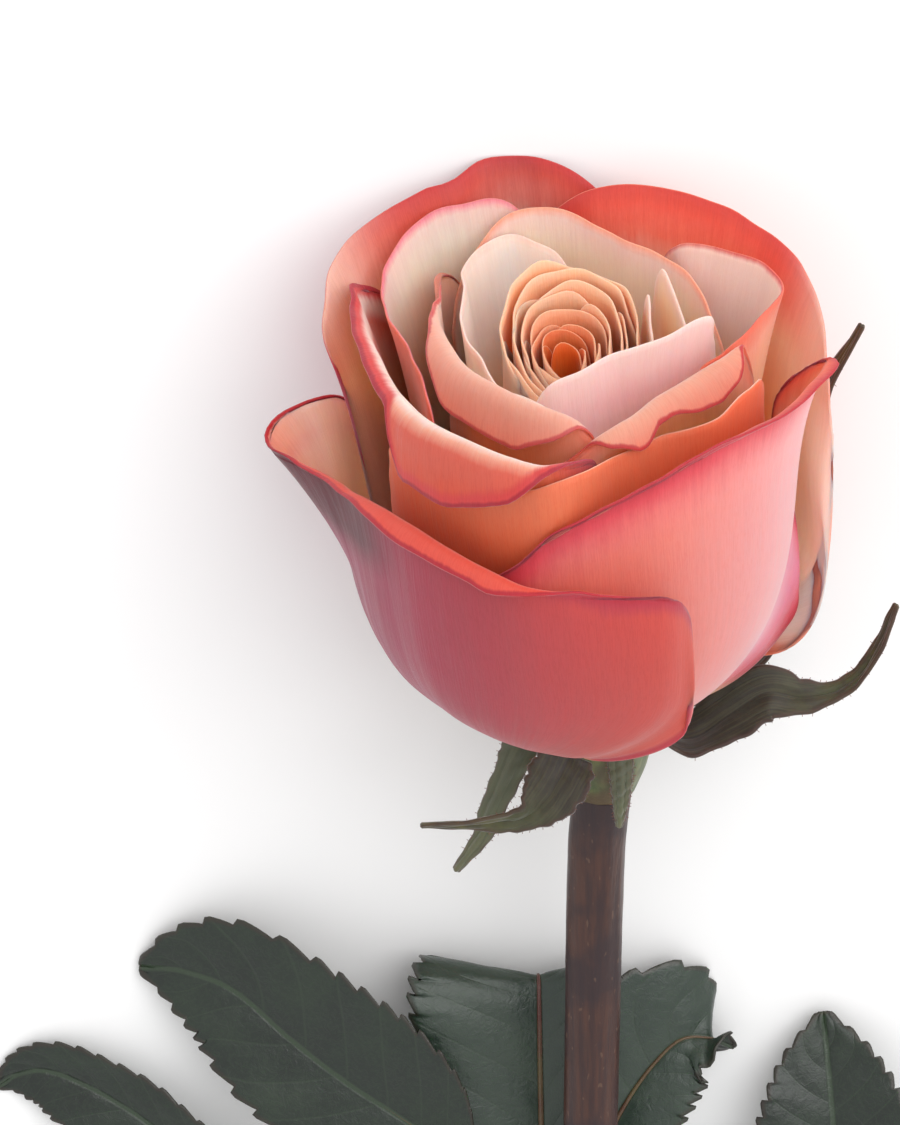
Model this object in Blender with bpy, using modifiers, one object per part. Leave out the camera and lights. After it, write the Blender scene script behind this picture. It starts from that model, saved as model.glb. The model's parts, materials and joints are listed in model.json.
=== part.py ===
"""A cut garden rose lying on a table: a cupped bloom, its hip with five sepals, a stem with prickles, four leaves.

Lengths are in millimetres until they enter a mesh. Two frames are used before the rose is laid down:
the stem frame has x to the right, y towards the table and z up the stem, with its origin at the bloom's base;
the bloom frame is round the bloom's own axis, with the azimuth 0 on the side away from the table.
"""
import math

import bmesh
import bpy
import numpy as np
from mathutils import Vector

MM = 0.001

# Driving sizes
BLADE = 0.6
PETAL_STEP = 1.0
STEM_LENGTH = 340.0

# How the bloom sits on its stem
BLOOM_NOD = math.radians(10.0)
BLOOM_LEAN = math.radians(5.0)
BLOOM_SHIFT = 2.5
BLOOM_SHIFT_HEIGHT = 46.0

# How the rose lies: the stem slopes down to its cut end, and the lowest points touch the table
LIE_PITCH = math.radians(2.5)
LIE_SHIFT = (-11.0, -140.15, 22.05)

# Grid of one petal: the fine surface, and which of its lines the solid takes
PETAL_COLUMNS = 49
PETAL_ROWS = 33
FLAP_ROWS = 8
TAKE_EVERY = 4

PALE = (0.93, 0.72, 0.62)
CORAL = (0.86, 0.30, 0.22)
PINK = (0.80, 0.30, 0.36)
PEACH = (0.92, 0.60, 0.42)
LEAF_GREEN = (0.035, 0.085, 0.045)
SEPAL_GREEN = (0.09, 0.09, 0.05)
STEM_BROWN = (0.09, 0.045, 0.03)

# Each big petal, from the inside out. A rim station is (azimuth, radius, height, outward lean in degrees),
# a flap station is (azimuth, length, direction in degrees from straight up), and the root is
# (radius, height, rise in degrees). "full" is how far the petal bulges, at each azimuth.
PETALS = {
    "petal_slip_inner": dict(
        root=(3.9, 6.6, 63), colour=PEACH,
        rim=((76, 9.4, 37, 0), (89, 9.4, 46, 2), (104, 9.4, 48, 4), (117, 10, 50, 6), (127, 11, 46.5, 2),
             (140, 12.4, 37, 0))),
    "petal_slip_outer": dict(
        root=(4.1, 6.4, 61), colour=PEACH,
        rim=((84, 13.6, 38, 0), (96, 13.8, 46.4, 3), (111, 13.6, 49, 5), (124, 13.9, 51.4, 6), (134, 14.8, 48, 3),
             (147, 16, 38, 0))),
    "petal_blush_right": dict(
        root=(4.4, 6.0, 58), colour=PALE,
        rim=((-45, 7.5, 41, 0), (-17, 7.6, 47, 0), (10, 6.9, 48.3, 0), (45, 7.6, 49.3, 5), (68, 11.3, 50, 10),
             (82, 16.2, 51, 15), (90, 16.5, 47, 8), (104, 17, 40, 5))),
    "petal_cream_left": dict(
        root=(4.5, 5.7, 56), full=((0, 0.95),), colour=PALE,
        rim=((-190, 18.5, 39, 0), (-181, 19.2, 46.5, 4), (-173, 20.7, 48.5, 8), (-163, 22.8, 49, 12),
             (-144, 19.1, 49, 12), (-128, 14.4, 49, 8), (-78, 10, 48.5, 0), (-40, 11.8, 48.5, 0),
             (-14, 12.8, 48, 0), (4, 15, 46.5, 0), (16, 14.5, 41, 0))),
    "petal_back_inner": dict(
        root=(4.9, 4.9, 49), colour=PALE,
        rim=((-262, 17, 38, 0), (-249, 17.3, 46, 5), (-232, 18.2, 48.5, 8), (-208, 18.8, 49.5, 8),
             (-193, 20.9, 50, 10), (-179, 23.4, 51, 12), (-166, 24.2, 50.5, 12), (-152, 23.5, 46, 8),
             (-142, 21.5, 40, 5))),
    "petal_left_flap": dict(
        root=(4.9, 4.9, 49), gap=1.2, colour=CORAL,
        rim=((-158, 20.5, 36, 5), (-147, 20.6, 45.5, 8), (-120, 16.3, 48.6, 8), (-90, 13.3, 49.5, 8),
             (-58, 12.3, 49.5, 12), (-30, 13, 49.5, 15), (-4, 15.3, 48.3, 15), (8, 16.2, 45.2, 10), (16, 16, 38, 5)),
        flap=((-150, 0, 90), (-135, 0.3, 100), (-110, 1.2, 120), (-90, 2.6, 140), (-72, 5, 155), (-58, 7.5, 160),
              (-20, 8, 160), (-4, 5, 150), (10, 0.5, 90))),
    "petal_back_right": dict(
        root=(5.1, 4.6, 47), full=((0, 0.85),), colour=PALE,
        rim=((58, 16, 38, 0), (67, 15.8, 46.4, 4), (73, 18, 48.1, 6), (83, 20.9, 49.4, 8), (93, 23.4, 50, 14),
             (99, 25, 50, 20), (109, 25, 50.3, 20), (115, 24, 50.5, 18), (127, 21.7, 50.5, 14),
             (138, 20.2, 50, 8), (150, 22.5, 45, 4), (158, 22, 36, 0))),
    "petal_right_flap": dict(
        root=(5.3, 4.3, 50), full=((0, 0.9),), colour=CORAL,
        rim=((-18, 17, 39, 5), (9, 17.2, 46, 10), (25, 16.4, 47.1, 15), (38, 15.6, 47.3, 15), (56, 16.4, 47.7, 15),
             (66, 18, 48.2, 12), (73, 19.1, 48.3, 10), (78, 19.4, 44, 3), (82, 19.2, 36, 0)),
        flap=((-20, 0.5, 90), (3, 1.2, 130), (12, 4.2, 150), (22, 6.0, 150), (30, 4.4, 150), (38, 4.4, 150),
              (46, 5.4, 150), (56, 6.0, 150), (63, 5.2, 150), (69, 2.6, 130), (75, 0.8, 100), (83, 0, 90))),
    "petal_back_left": dict(
        root=(5.6, 3.9, 46), full=((0, 0.85),), colour=PALE,
        rim=((-179, 23.5, 38, 5), (-170, 26, 50, 12), (-156, 27.5, 51.5, 18), (-146, 28.1, 51, 20),
             (-132, 26.9, 49, 20), (-126, 25.5, 48, 18), (-112, 21.5, 48.3, 12), (-95, 18.1, 48.5, 8),
             (-76, 17, 48.3, 3), (-62, 17.6, 46.5, 0), (-53, 18, 38, 0))),
    "petal_left_front_flap": dict(
        root=(5.8, 3.2, 42), full=((0, 0.85),), colour=CORAL,
        rim=((-148, 25.5, 34, 5), (-137, 27.3, 42, 10), (-121, 27.2, 48.2, 18), (-110, 24.4, 48.8, 20),
             (-90, 21.4, 49.2, 18), (-74, 20.8, 49.2, 18), (-56, 21.4, 49.2, 18), (-43, 22.4, 49.2, 18),
             (-29, 23.6, 49.2, 16), (-16, 25, 48.6, 12), (-7, 25.4, 47.8, 8), (1, 22.5, 46.3, 5), (7, 19.2, 44, 2),
             (12, 18.6, 36, 0)),
        flap=((-150, 0, 90), (-115, 1.2, 110), (-95, 2.4, 125), (-62, 3, 135), (-55, 3.6, 150), (-49, 9.5, 172),
              (-30, 9.9, 172), (-15, 7.1, 170), (-7, 3.6, 155), (4, 0.8, 120))),
    "petal_front_tucked": dict(
        root=(6.0, 2.3, 37), full=((0, 0.85),), colour=CORAL, tucked=True,
        rim=((-78, 21.5, 32, 0), (-66, 22, 42.5, 0), (-45, 22.5, 45.3, 0), (-15, 24, 45.8, 0), (-6, 24.2, 46.8, 0),
             (0, 22.6, 47, 0), (6, 20.4, 46.4, 0), (13, 18.4, 45.6, 0), (25, 17.8, 45.2, 0), (33, 18, 45.1, 0),
             (40, 19.3, 45.1, 3), (47, 21.4, 45.7, 7), (55, 22.6, 47.2, 9), (62, 23.2, 47.5, 10),
             (66, 23.3, 47.3, 10), (70, 22.7, 44.5, 4), (75, 21.4, 39.5, 2), (80, 20.6, 32, 0))),
    "petal_guard_front_right": dict(
        root=(6.8, 0.6, 27), full=((40, 0.9), (90, 0.98)), colour=PINK,
        rim=((-42, 25, 28, 0), (-17, 27, 36.4, 0), (-7, 26.8, 40.6, 0), (6, 26.2, 43, 2), (22, 26, 45, 5),
             (38, 26.5, 46.3, 10), (54, 27.6, 46.2, 16), (68, 28.4, 46.2, 22), (80, 29.2, 46, 28),
             (82, 26.3, 44.3, 18), (82.8, 23.6, 41.5, 8), (83.2, 22.6, 38, 2), (83.8, 22.9, 34, 0),
             (84.5, 23.6, 30.5, 0), (87, 24.3, 23, -5), (90, 23.8, 15, -10)),
        flap=((-40, 0, 90), (20, 0.6, 60), (34, 1.0, 110), (45, 2.0, 130), (76, 2.2, 130), (82, 0, 60))),
    "petal_guard_back_right": dict(
        root=(7.1, -0.1, 29), full=((88, 0.6), (112, 0.8)), gap=1.5, colour=CORAL,
        rim=((104, 24, 9.5, 0), (96, 24.4, 12, 0), (90, 26, 17, 0), (88, 28.2, 24.5, 0), (87.5, 29, 33, 0),
             (88, 29, 40, 5), (92, 29, 44.5, 15), (101, 29, 48, 25), (112, 28.6, 50, 28), (124, 27.8, 51, 25),
             (140, 26.4, 52.3, 22), (156, 24.8, 53, 22), (172, 23.5, 52, 16), (186, 25, 46, 8),
             (192, 26, 38, 5))),
    "petal_guard_back_left": dict(
        root=(7.2, -0.5, 20), full=((0, 0.84),), colour=CORAL,
        rim=((-119, 26.5, 22, 0), (-113, 27.2, 34, 5), (-105, 27, 42, 12), (-107, 28.6, 46, 20),
             (-114, 28.7, 49, 25), (-124, 29.5, 51, 28), (-138, 31, 51.5, 25), (-150, 30.2, 52.8, 25),
             (-156, 29.4, 53, 25), (-165, 30.3, 54, 30), (-174, 29, 53.7, 30), (-186, 26.2, 52, 22),
             (-202, 28.5, 44, 10))),
    "petal_guard_front_left": dict(
        root=(7.2, -0.8, 25), full=((-128, 1.15), (-75, 1.12), (-35, 0.88), (24, 0.8)), colour=PINK,
        rim=((-128, 25.5, 25, 0), (-121, 26.5, 32, 0), (-111, 27, 37, 4), (-105, 28.5, 38.6, 6),
             (-102.5, 31.3, 38.2, 8), (-101, 33.8, 37, 8), (-95, 34.5, 35.6, 8), (-86, 30, 35.4, 8),
             (-76, 27.2, 36, 8), (-58, 26.2, 37.6, 8), (-43, 26.2, 37.8, 5), (-29, 26.8, 36.8, 5),
             (-19, 27.7, 35.7, 5), (-11, 29, 35, 5), (2, 31, 35.4, 5), (14, 32.2, 35, 2), (20.5, 30.4, 32, 0),
             (23, 29, 27.5, -5), (22, 27.6, 22.5, -10)),
        flare=((-113, 0), (-105, 1.2), (-102.5, 3.7), (-101, 6), (-95, 6.5), (-86, 2.6), (-76, 0.3), (-66, 0)),
        flap=((-128, 0, 90), (-104, 0.3, 90), (-94, 1.4, 120), (-84, 2.4, 140), (-62, 2.8, 140), (-45, 4.4, 155),
              (-20, 4.6, 155), (-8, 2.6, 150), (5, 0.4, 120), (18, 0, 90))),
}
# Profile of the hip, (radius, height) from its tip among the petals down to the stem
HIP_PROFILE = ((0, 8.1), (1.9, 7.5), (2.9, 5.7), (4.3, 2.9), (5.6, -0.2), (6.1, -1.7), (6.3, -3.0), (6.1, -5.5),
               (5.4, -8.5), (4.4, -11), (3.7, -12.6), (0, -12.6))
HIP_STEPS = 16

# Centre line of the stem: (x, y, z, radius)
STEM_PATH = ((0.8, 2.3, -13.0, 3.4), (0.1, 2.9, -24, 3.4), (-0.1, 3.3, -60, 3.3), (-0.5, 3.4, -110, 3.4),
             (-0.8, 3.4, -180, 3.5), (-0.9, 3.3, -260, 3.7), (-0.9, 3.2, -STEM_LENGTH, 3.9))
STEM_RINGS = 25
STEM_NODES = (-82, -108, -140, -158)
# Prickles: (height on the stem, direction round it in degrees, length)
PRICKLES = ((-122, 200, 3.2), (-171, 60, 3.6), (-188, 300, 4.0), (-214, 150, 4.2), (-236, 20, 4.4), (-262, 250, 4.2),
            (-281, 110, 4.6), (-307, 330, 4.4))

# Sepals: stations (x, y, z, half width, roll in degrees) and the way the blade spreads sideways
SEPALS = {
    "sepal_right_upright": dict(
        across=(0.6, -0.8, 0),
        path=((4.9, 5.6, -4.0, 2.4, 0), (10.8, 11.5, -5.0, 3.4, 0), (19, 15.8, -1.5, 3.0, 0), (23.8, 16.2, 9, 2.2, 0),
              (25.4, 15.4, 21, 1.6, 0), (26.2, 13.6, 32.5, 1.1, 0), (30.3, 11, 42.6, 0.35, 0))),
    "sepal_right_curled": dict(
        across=(0, -1, 0),
        path=((7.1, -1.2, -3.9, 2.4, 0), (11, -1, -4.5, 3.2, -20), (15.5, -0.8, -1.5, 3.3, -45),
              (19.6, -1.5, 1.6, 3.1, -60), (23.7, -1.5, 1.1, 2.0, -55), (27.7, -1, 1.6, 1.2, -40),
              (30.7, -0.8, 4, 1.0, -30), (33, -0.6, 8.2, 0.9, -25), (34.4, -0.4, 12.4, 0.35, -20))),
    "sepal_front_short": dict(
        across=(1, 0, 0),
        path=((2.6, -6.2, -4.6, 1.4, 0), (2.7, -6.8, -7, 1.15, 0), (2.7, -6.6, -10, 0.8, 0),
              (2.6, -6, -13.4, 0.3, 0))),
    "sepal_front_twisted": dict(
        across=(-0.6, 0.45, 0.6),
        path=((-3.2, -6.6, -3.9, 2.6, 0), (-4.3, -8.0, -5.8, 3.6, 0), (-6.1, -9.0, -8.4, 3.0, 15),
              (-8.4, -9.5, -10.4, 1.6, 35), (-12.5, -10, -10.9, 1.2, 60), (-20.4, -10.5, -11, 0.35, 100))),
    "sepal_left_hanging": dict(
        across=(0.85, -0.4, -0.2),
        path=((-7.3, 1.8, -4.2, 1.6, 60), (-8.9, 1.4, -7.0, 2.0, 30), (-10.3, 1.4, -10.4, 1.6, 10),
              (-12.5, 1.6, -15.9, 1.35, 0), (-13.3, 2, -18.8, 1.0, 0), (-16.4, 3, -24, 0.35, 0))),
}

# Leaves: the rachis as (x, y, z) from the stem outward, and its leaflets. A leaflet's path runs from its base
# to its tip; it faces away from the table unless another way is given.
LEAVES = {
    "leaf_behind": dict(
        rachis=((-0.2, 7.7, -82), (-1.1, 9.3, -80.5), (-3.2, 9.7, -76), (-6, 9.6, -71)),
        leaflets=(dict(path=((-5.6, 9.6, -72), (-6, 11.2, -60), (-6.2, 13.2, -49), (-6.3, 15.4, -45.4),
                             (-6.4, 16.9, -48.6), (-6.5, 17.0, -55)), widths=(15, 7)),
                  dict(path=((-2.4, 9.8, -77.5), (1.5, 12, -68), (6.5, 13.9, -59), (12, 15.5, -54),
                             (17.8, 16.15, -56)), widths=(12.5, 6.5), roll=5),
                  dict(path=((-2.0, 9.7, -79), (-11, 11, -81), (-19.5, 13, -82.5)), widths=(6.5, 6.5)))),
    "leaf_left": dict(
        rachis=((-4.85, 3.4, -108), (-6.6, 3.5, -105.5), (-9.7, 4.4, -90), (-12.5, 6.0, -77), (-15, 8, -66)),
        leaflets=(dict(path=((-14.6, 7.6, -67.2), (-22.5, 8.8, -62), (-33.5, 11.4, -55), (-45, 15.4, -46.4),
                             (-55.3, 19.4, -46.2)), widths=(9.5, 12)),
                  dict(path=((-9.6, 4.5, -89.5), (-24, 1.8, -92), (-38, 4, -96)), widths=(9.5, 9.5)),
                  dict(path=((-9.4, 4.3, -87), (-7.7, -8, -86), (-5, -20, -80)), widths=(9, 9),
                       facing=(1, 0, 0.3)))),
    "leaf_right": dict(
        rachis=((3.7, 3.6, -140), (5.8, 4.2, -137.5), (12.5, 6.4, -119), (23, 8.2, -101), (32, 8, -84)),
        leaflets=(dict(path=((31.5, 8, -85), (31, 10.6, -74), (30, 13.9, -62.5), (28.9, 17.8, -51.8)),
                       widths=(9.8, 9.8)),
                  dict(path=((20.5, 7.9, -105.5), (36, 8.5, -102.5), (52, 13.5, -98)), widths=(10, 10)),
                  dict(path=((19.5, 7.8, -107), (15.5, 9.5, -92), (14, 14.5, -77)), widths=(8, 8)))),
    "leaf_lower_left": dict(
        rachis=((-4.2, 6.1, -158), (-5.9, 7.4, -155.5), (-14.2, 10.8, -130), (-26, 14.2, -100), (-36, 13.5, -78)),
        leaflets=(dict(path=((-35.5, 13.6, -79), (-49, 15, -70.5), (-59.3, 16.8, -63.4), (-68, 18.6, -60.4),
                             (-73.5, 19, -63)), widths=(6, 5)),
                  dict(path=((-29.5, 14, -93), (-45, 13, -95), (-61, 16, -97)), widths=(8.5, 8.5)),
                  dict(path=((-28.5, 14, -95), (-26, 15.3, -86), (-23, 17, -76)), widths=(5.5, 5.5)),
                  dict(path=((-18.5, 12, -118.5), (-33, 11, -123), (-48, 14, -127)), widths=(8.5, 8.5)),
                  dict(path=((-17.5, 12, -120.5), (-13, 12.8, -110), (-7, 15, -101)), widths=(6.5, 6.5)))),
}
LEAFLET_OUTLINE = (0.10, 0.62, 0.90, 1.0, 0.95, 0.78, 0.50, 0.05)
LEAFLET_TEETH = 7
TOOTH_DEPTH = 0.09
LEAF_FOLD = 0.22
RACHIS_RADIUS = 0.75
STIPULE_WIDTHS = (0.5, 2.0, 1.4, 0.3)

CLAW_SHARE = 0.5
WIDEST_AT = 0.55
ROLL_RADIUS = 1.6
FLARE_FROM = 21.0
FLARE_CURVE = 1.25

# The heart: small petals on the golden angle; the outer ones stand further to the back and to the right.
# A rim station is (share of the half width, how far in, drop, outward lean in degrees).
HEART_PETALS = 20
GOLDEN_ANGLE = 137.5
HEART_RADII = (1.7, 7.6)
HEART_HALF_WIDTH = 97.0
HEART_OVAL = 0.25
HEART_HEIGHT = 44.5
HEART_RISE = (0.3, 0.6)
HEART_RIM = ((-1, -0.5, 9, 0), (-0.8, -0.35, 2.5, 0), (-0.45, -0.2, 0.3, 0), (0, 0, 0, 0), (0.45, 0.2, 0.2, 0),
             (0.8, 0.35, 1.8, 0), (1, 0.5, 9, 0))
HEART_CORE = ((0, 8.4), (3.0, 8.8), (4.2, 11), (5.2, 16), (5.6, 22), (5.0, 27), (3.0, 31), (0, 32.5))
HEART_FIRST_ROW = 2
HEART_TAKE_EVERY = 2


def curve_at(stations, shares):
    """Points, at shares from 0 to 1, of a smooth curve that passes through all the stations."""
    s = np.asarray(stations, float)
    s = np.vstack([2 * s[0] - s[1], s, 2 * s[-1] - s[-2]])
    t = np.asarray(shares, float) * (len(s) - 3 - 1e-9)
    i = t.astype(int)
    f = (t - i)[:, None]
    a, b, c, d = s[i], s[i + 1], s[i + 2], s[i + 3]
    return 0.5 * (2 * b + (c - a) * f + (2 * a - 5 * b + 4 * c - d) * f ** 2 + (3 * b - a - 3 * c + d) * f ** 3)


def even_rim(stations, count):
    """Rim stations resampled so that they lie evenly far apart along the rim."""
    fine = curve_at(stations, np.linspace(0, 1, 40 * len(stations)))
    around = np.radians(fine[:, 0])
    place = np.stack([fine[:, 1] * np.sin(around), fine[:, 1] * np.cos(around), fine[:, 2]], 1)
    run = np.concatenate([[0], np.cumsum(np.linalg.norm(np.diff(place, axis=0), axis=1))])
    steps = np.linspace(0, run[-1], count)
    return np.stack([np.interp(steps, run, fine[:, k]) for k in range(fine.shape[1])], 1)


def petal_surface(petal, columns=PETAL_COLUMNS, rows=PETAL_ROWS):
    """One petal as a grid [row, column] of (azimuth, radius, height), from its claw up to its margin."""
    rim = even_rim(petal["rim"], columns)
    azimuth, radius, height, lean = rim[:, 0], rim[:, 1], rim[:, 2], np.radians(rim[:, 3])
    flare_at, flare = np.array(petal.get("flare", ((0, 0),)), float).T
    flare = np.interp(azimuth, flare_at, flare)
    radius = radius - flare
    root_radius, root_height, rise = petal["root"]
    rise = math.radians(rise)
    span = np.hypot(radius - root_radius, height - root_height)[:, None]
    start = np.stack([np.full(columns, root_radius), np.full(columns, root_height)], 1)
    end = np.stack([radius, height], 1)
    full_at, full = np.array(petal.get("full", ((0, 1),)), float).T
    full = np.interp(azimuth, full_at, full)[:, None]
    low = start + 0.55 * full * span * np.array([math.cos(rise), math.sin(rise)])
    high = end - 0.42 * span * np.cos(lean)[:, None] * np.stack([np.sin(lean), np.cos(lean)], 1)
    t = np.linspace(0, 1, rows)[:, None, None]
    wall = (1 - t) ** 3 * start + 3 * (1 - t) ** 2 * t * low + 3 * (1 - t) * t ** 2 * high + t ** 3 * end
    up = np.clip((wall[..., 1] - FLARE_FROM) / np.maximum(height - FLARE_FROM, 1), 0, 1)
    wall[..., 0] += flare * up ** FLARE_CURVE
    if "flap" in petal:
        wall = np.concatenate([wall, rolled_flap(petal["flap"], azimuth, wall[-1], lean)])
    share = np.clip(np.linspace(0, 1, wall.shape[0])[:, None] / WIDEST_AT, 0, 1)
    share = CLAW_SHARE + (1 - CLAW_SHARE) * share * share * (3 - 2 * share)
    middle = 0.5 * (azimuth[0] + azimuth[-1])
    return np.dstack([middle + (azimuth - middle) * share, wall])


def rolled_flap(stations, azimuth, crest, lean):
    """Rows of (radius, height) that roll outward over the crest and hang down to the margin."""
    at, length, fall = np.array(sorted(stations), float).T
    step = np.interp(azimuth, at, length) / FLAP_ROWS
    fall = np.radians(np.interp(azimuth, at, fall))
    angle = lean.copy()
    point = crest
    rows = []
    for _ in range(FLAP_ROWS):
        turn = np.minimum(step / ROLL_RADIUS, np.maximum(fall - angle, 0))
        angle = angle + turn
        heading = np.stack([np.sin(angle - turn / 2), np.cos(angle - turn / 2)], 1)
        point = point + step[:, None] * heading
        rows.append(point)
    return np.array(rows)


class Nest:
    """How far out each direction is taken by the petals that are already in the bloom."""

    CENTRE = 18.0
    AZIMUTH_BINS = 180
    UP_STEP = 0.8
    UP_BINS = 90
    UNDER_STEP = 0.32
    UP_ZERO = 32.0

    def __init__(self):
        self.taken = np.zeros((self.AZIMUTH_BINS, self.UP_BINS))

    def place(self, surface):
        """The cell of every point, and its distance outward: from the axis above the centre, else from it."""
        up = surface[..., 2] - self.CENTRE
        radius = surface[..., 1]
        out = np.where(up < 0, np.hypot(radius, up), radius)
        along = np.where(up < 0, np.degrees(np.arctan2(up, radius)) * self.UNDER_STEP, up)
        column = (np.mod(surface[..., 0], 360) * self.AZIMUTH_BINS / 360).astype(int) % self.AZIMUTH_BINS
        row = np.clip(((along + self.UP_ZERO) / self.UP_STEP).astype(int), 0, self.UP_BINS - 1)
        return column, row, out

    def add(self, surface):
        column, row, out = self.place(between_lines(surface))
        np.maximum.at(self.taken, (column, row), out)

    def push_clear(self, surface, gap):
        """Move a petal outward until it is clear of all that the nest holds."""
        around = largest_near(self.taken, 1, wrap=True)
        for reach in (2, 1):
            column, row, out = self.place(surface)
            need = around[column, row]
            push = np.where(need > 0, np.maximum(need + gap - out, 0), 0)
            push = smooth(largest_near(push, reach), reach)
            if reach > 1:
                push = smooth(push, reach)
            up = surface[..., 2] - self.CENTRE
            grow = 1 + push / np.maximum(out, 0.5)
            radius = np.where(up < 0, surface[..., 1] * grow, surface[..., 1] + push)
            height = np.where(up < 0, self.CENTRE + up * grow, surface[..., 2])
            surface = np.dstack([surface[..., 0], radius, height])
        return surface


def between_lines(grid):
    """The grid with twice as many rows and columns."""
    for _ in range(2):
        fine = np.empty((2 * grid.shape[0] - 1,) + grid.shape[1:])
        fine[::2] = grid
        fine[1::2] = 0.5 * (grid[1:] + grid[:-1])
        grid = fine.swapaxes(0, 1)
    return grid


def largest_near(grid, reach, wrap=False):
    """Largest value within so many cells of each cell."""
    padded = np.pad(grid, ((reach, reach), (0, 0)), mode="wrap" if wrap else "edge")
    padded = np.pad(padded, ((0, 0), (reach, reach)), mode="edge")
    rows, columns = grid.shape
    shifts = range(2 * reach + 1)
    return np.max([padded[i:i + rows, j:j + columns] for i in shifts for j in shifts], axis=0)


def smooth(grid, reach):
    """Mean value within so many cells of each cell."""
    padded = np.pad(grid, reach, mode="edge")
    rows, columns = grid.shape
    shifts = range(2 * reach + 1)
    return np.mean([padded[i:i + rows, j:j + columns] for i in shifts for j in shifts], axis=0)


def heart_petal(number):
    """Radius, and rim and root, of one small petal of the heart."""
    share = number / (HEART_PETALS - 1)
    azimuth = 150 + GOLDEN_ANGLE * number
    radius = HEART_RADII[0] + (HEART_RADII[1] - HEART_RADII[0]) * share
    rim = []
    for part, inward, drop, lean in HEART_RIM:
        at = azimuth + part * HEART_HALF_WIDTH
        back = -math.cos(math.radians(at))
        height = HEART_HEIGHT + radius * (HEART_RISE[0] + HEART_RISE[1] * back) + 0.4 * math.sin(2 * number) - drop
        rim.append((at, radius * (1 + HEART_OVAL * max(back, 0)) - inward, height, lean))
    return radius, dict(root=(2.6 + 1.2 * share, 11 - 2 * share, 70), rim=rim, full=((0, 0.45 + 0.55 * share),))


def bloom_points(surface):
    """A petal's grid as points of the bloom frame: x right, y towards the table, z along the bloom's axis."""
    around = np.radians(surface[..., 0])
    return np.stack([surface[..., 1] * np.sin(around), -surface[..., 1] * np.cos(around), surface[..., 2]], -1)


def polar_points(points):
    """The inverse of bloom_points."""
    azimuth = np.unwrap(np.unwrap(np.arctan2(points[..., 0], -points[..., 1]), axis=1), axis=0)
    azimuth = np.degrees(azimuth)
    return np.stack([azimuth, np.hypot(points[..., 0], points[..., 1]), points[..., 2]], -1)


def shift_heart(surface, radius):
    """The heart's petals lean towards the table, the outer ones more, and from left to right."""
    points = bloom_points(surface)
    lean = np.clip(points[..., 2] / HEART_HEIGHT, 0, 1) ** 2
    points[..., 0] += (0.2 * radius - 0.8) * lean
    points[..., 1] += (0.25 * radius + 0.8) * lean
    return polar_points(points)


def bloom_to_stem(points):
    """Bend, nod and lean the bloom on its stem."""
    p = np.array(points, float)
    p[..., 1] += BLOOM_SHIFT * (np.clip(p[..., 2], 0, None) / BLOOM_SHIFT_HEIGHT) ** 2
    x, y, z = p[..., 0], p[..., 1], p[..., 2]
    y, z = (y * math.cos(BLOOM_NOD) - z * math.sin(BLOOM_NOD), y * math.sin(BLOOM_NOD) + z * math.cos(BLOOM_NOD))
    x, z = (x * math.cos(BLOOM_LEAN) - z * math.sin(BLOOM_LEAN), x * math.sin(BLOOM_LEAN) + z * math.cos(BLOOM_LEAN))
    return np.stack([x, y, z], -1)


def lay_down(points):
    """From the upright stem frame to the rose that lies on the table, in metres."""
    p = np.asarray(points, float)
    x, y, z = -p[..., 0], -p[..., 2], -p[..., 1]
    y, z = (y * math.cos(LIE_PITCH) + z * math.sin(LIE_PITCH), z * math.cos(LIE_PITCH) - y * math.sin(LIE_PITCH))
    return (np.stack([x, y, z], -1) + np.array(LIE_SHIFT)) * MM


def bloom_surfaces():
    """The petals' fine grids in the bloom frame, each pushed clear of those inside it."""
    walls = Nest()
    walls_and_flaps = Nest()
    heart = []
    for number in range(HEART_PETALS):
        radius, petal = heart_petal(number)
        surface = shift_heart(petal_surface(petal), radius)
        walls.add(surface)
        walls_and_flaps.add(surface)
        heart.append(surface)
    petals = {}
    for name, petal in PETALS.items():
        nest = walls if petal.get("tucked") else walls_and_flaps
        surface = nest.push_clear(petal_surface(petal), petal.get("gap", PETAL_STEP))
        petals[name] = surface
        walls.add(surface[:PETAL_ROWS])
        walls_and_flaps.add(surface)
    return heart, petals


def material(name, colour, roughness):
    """A plain Principled material."""
    made = bpy.data.materials.new(name)
    made.use_nodes = True
    shader = made.node_tree.nodes["Principled BSDF"]
    shader.inputs["Base Color"].default_value = (*colour, 1)
    shader.inputs["Roughness"].default_value = roughness
    shader.inputs["Metallic"].default_value = 0
    return made


def new_object(name, mesh, collection):
    """An object in the rose's collection."""
    made = bpy.data.objects.new(name, mesh)
    collection.objects.link(made)
    return made


def sheet(name, points, collection, thickness=BLADE):
    """A thin blade through a grid of points, split into triangles alike on both faces."""
    rows, columns = points.shape[:2]
    build = bmesh.new()
    grid = [[build.verts.new(points[i, j]) for j in range(columns)] for i in range(rows)]
    for i in range(rows - 1):
        for j in range(columns - 1):
            a, b, c, d = grid[i][j], grid[i][j + 1], grid[i + 1][j + 1], grid[i + 1][j]
            if (i + j) % 2:
                build.faces.new((a, b, c))
                build.faces.new((a, c, d))
            else:
                build.faces.new((a, b, d))
                build.faces.new((b, c, d))
    mesh = bpy.data.meshes.new(name)
    build.to_mesh(mesh)
    build.free()
    made = new_object(name, mesh, collection)
    solid = made.modifiers.new("blade", "SOLIDIFY")
    solid.thickness = thickness * MM
    solid.offset = 0
    mesh.shade_smooth()
    return made


def coarse(surface, column_step=TAKE_EVERY, row_step=TAKE_EVERY):
    """A petal's fine grid with only some of its lines."""
    return surface[::row_step, ::column_step]


def unit(vectors):
    """Vectors scaled to length one."""
    return vectors / np.linalg.norm(vectors, axis=-1, keepdims=True)


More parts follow.
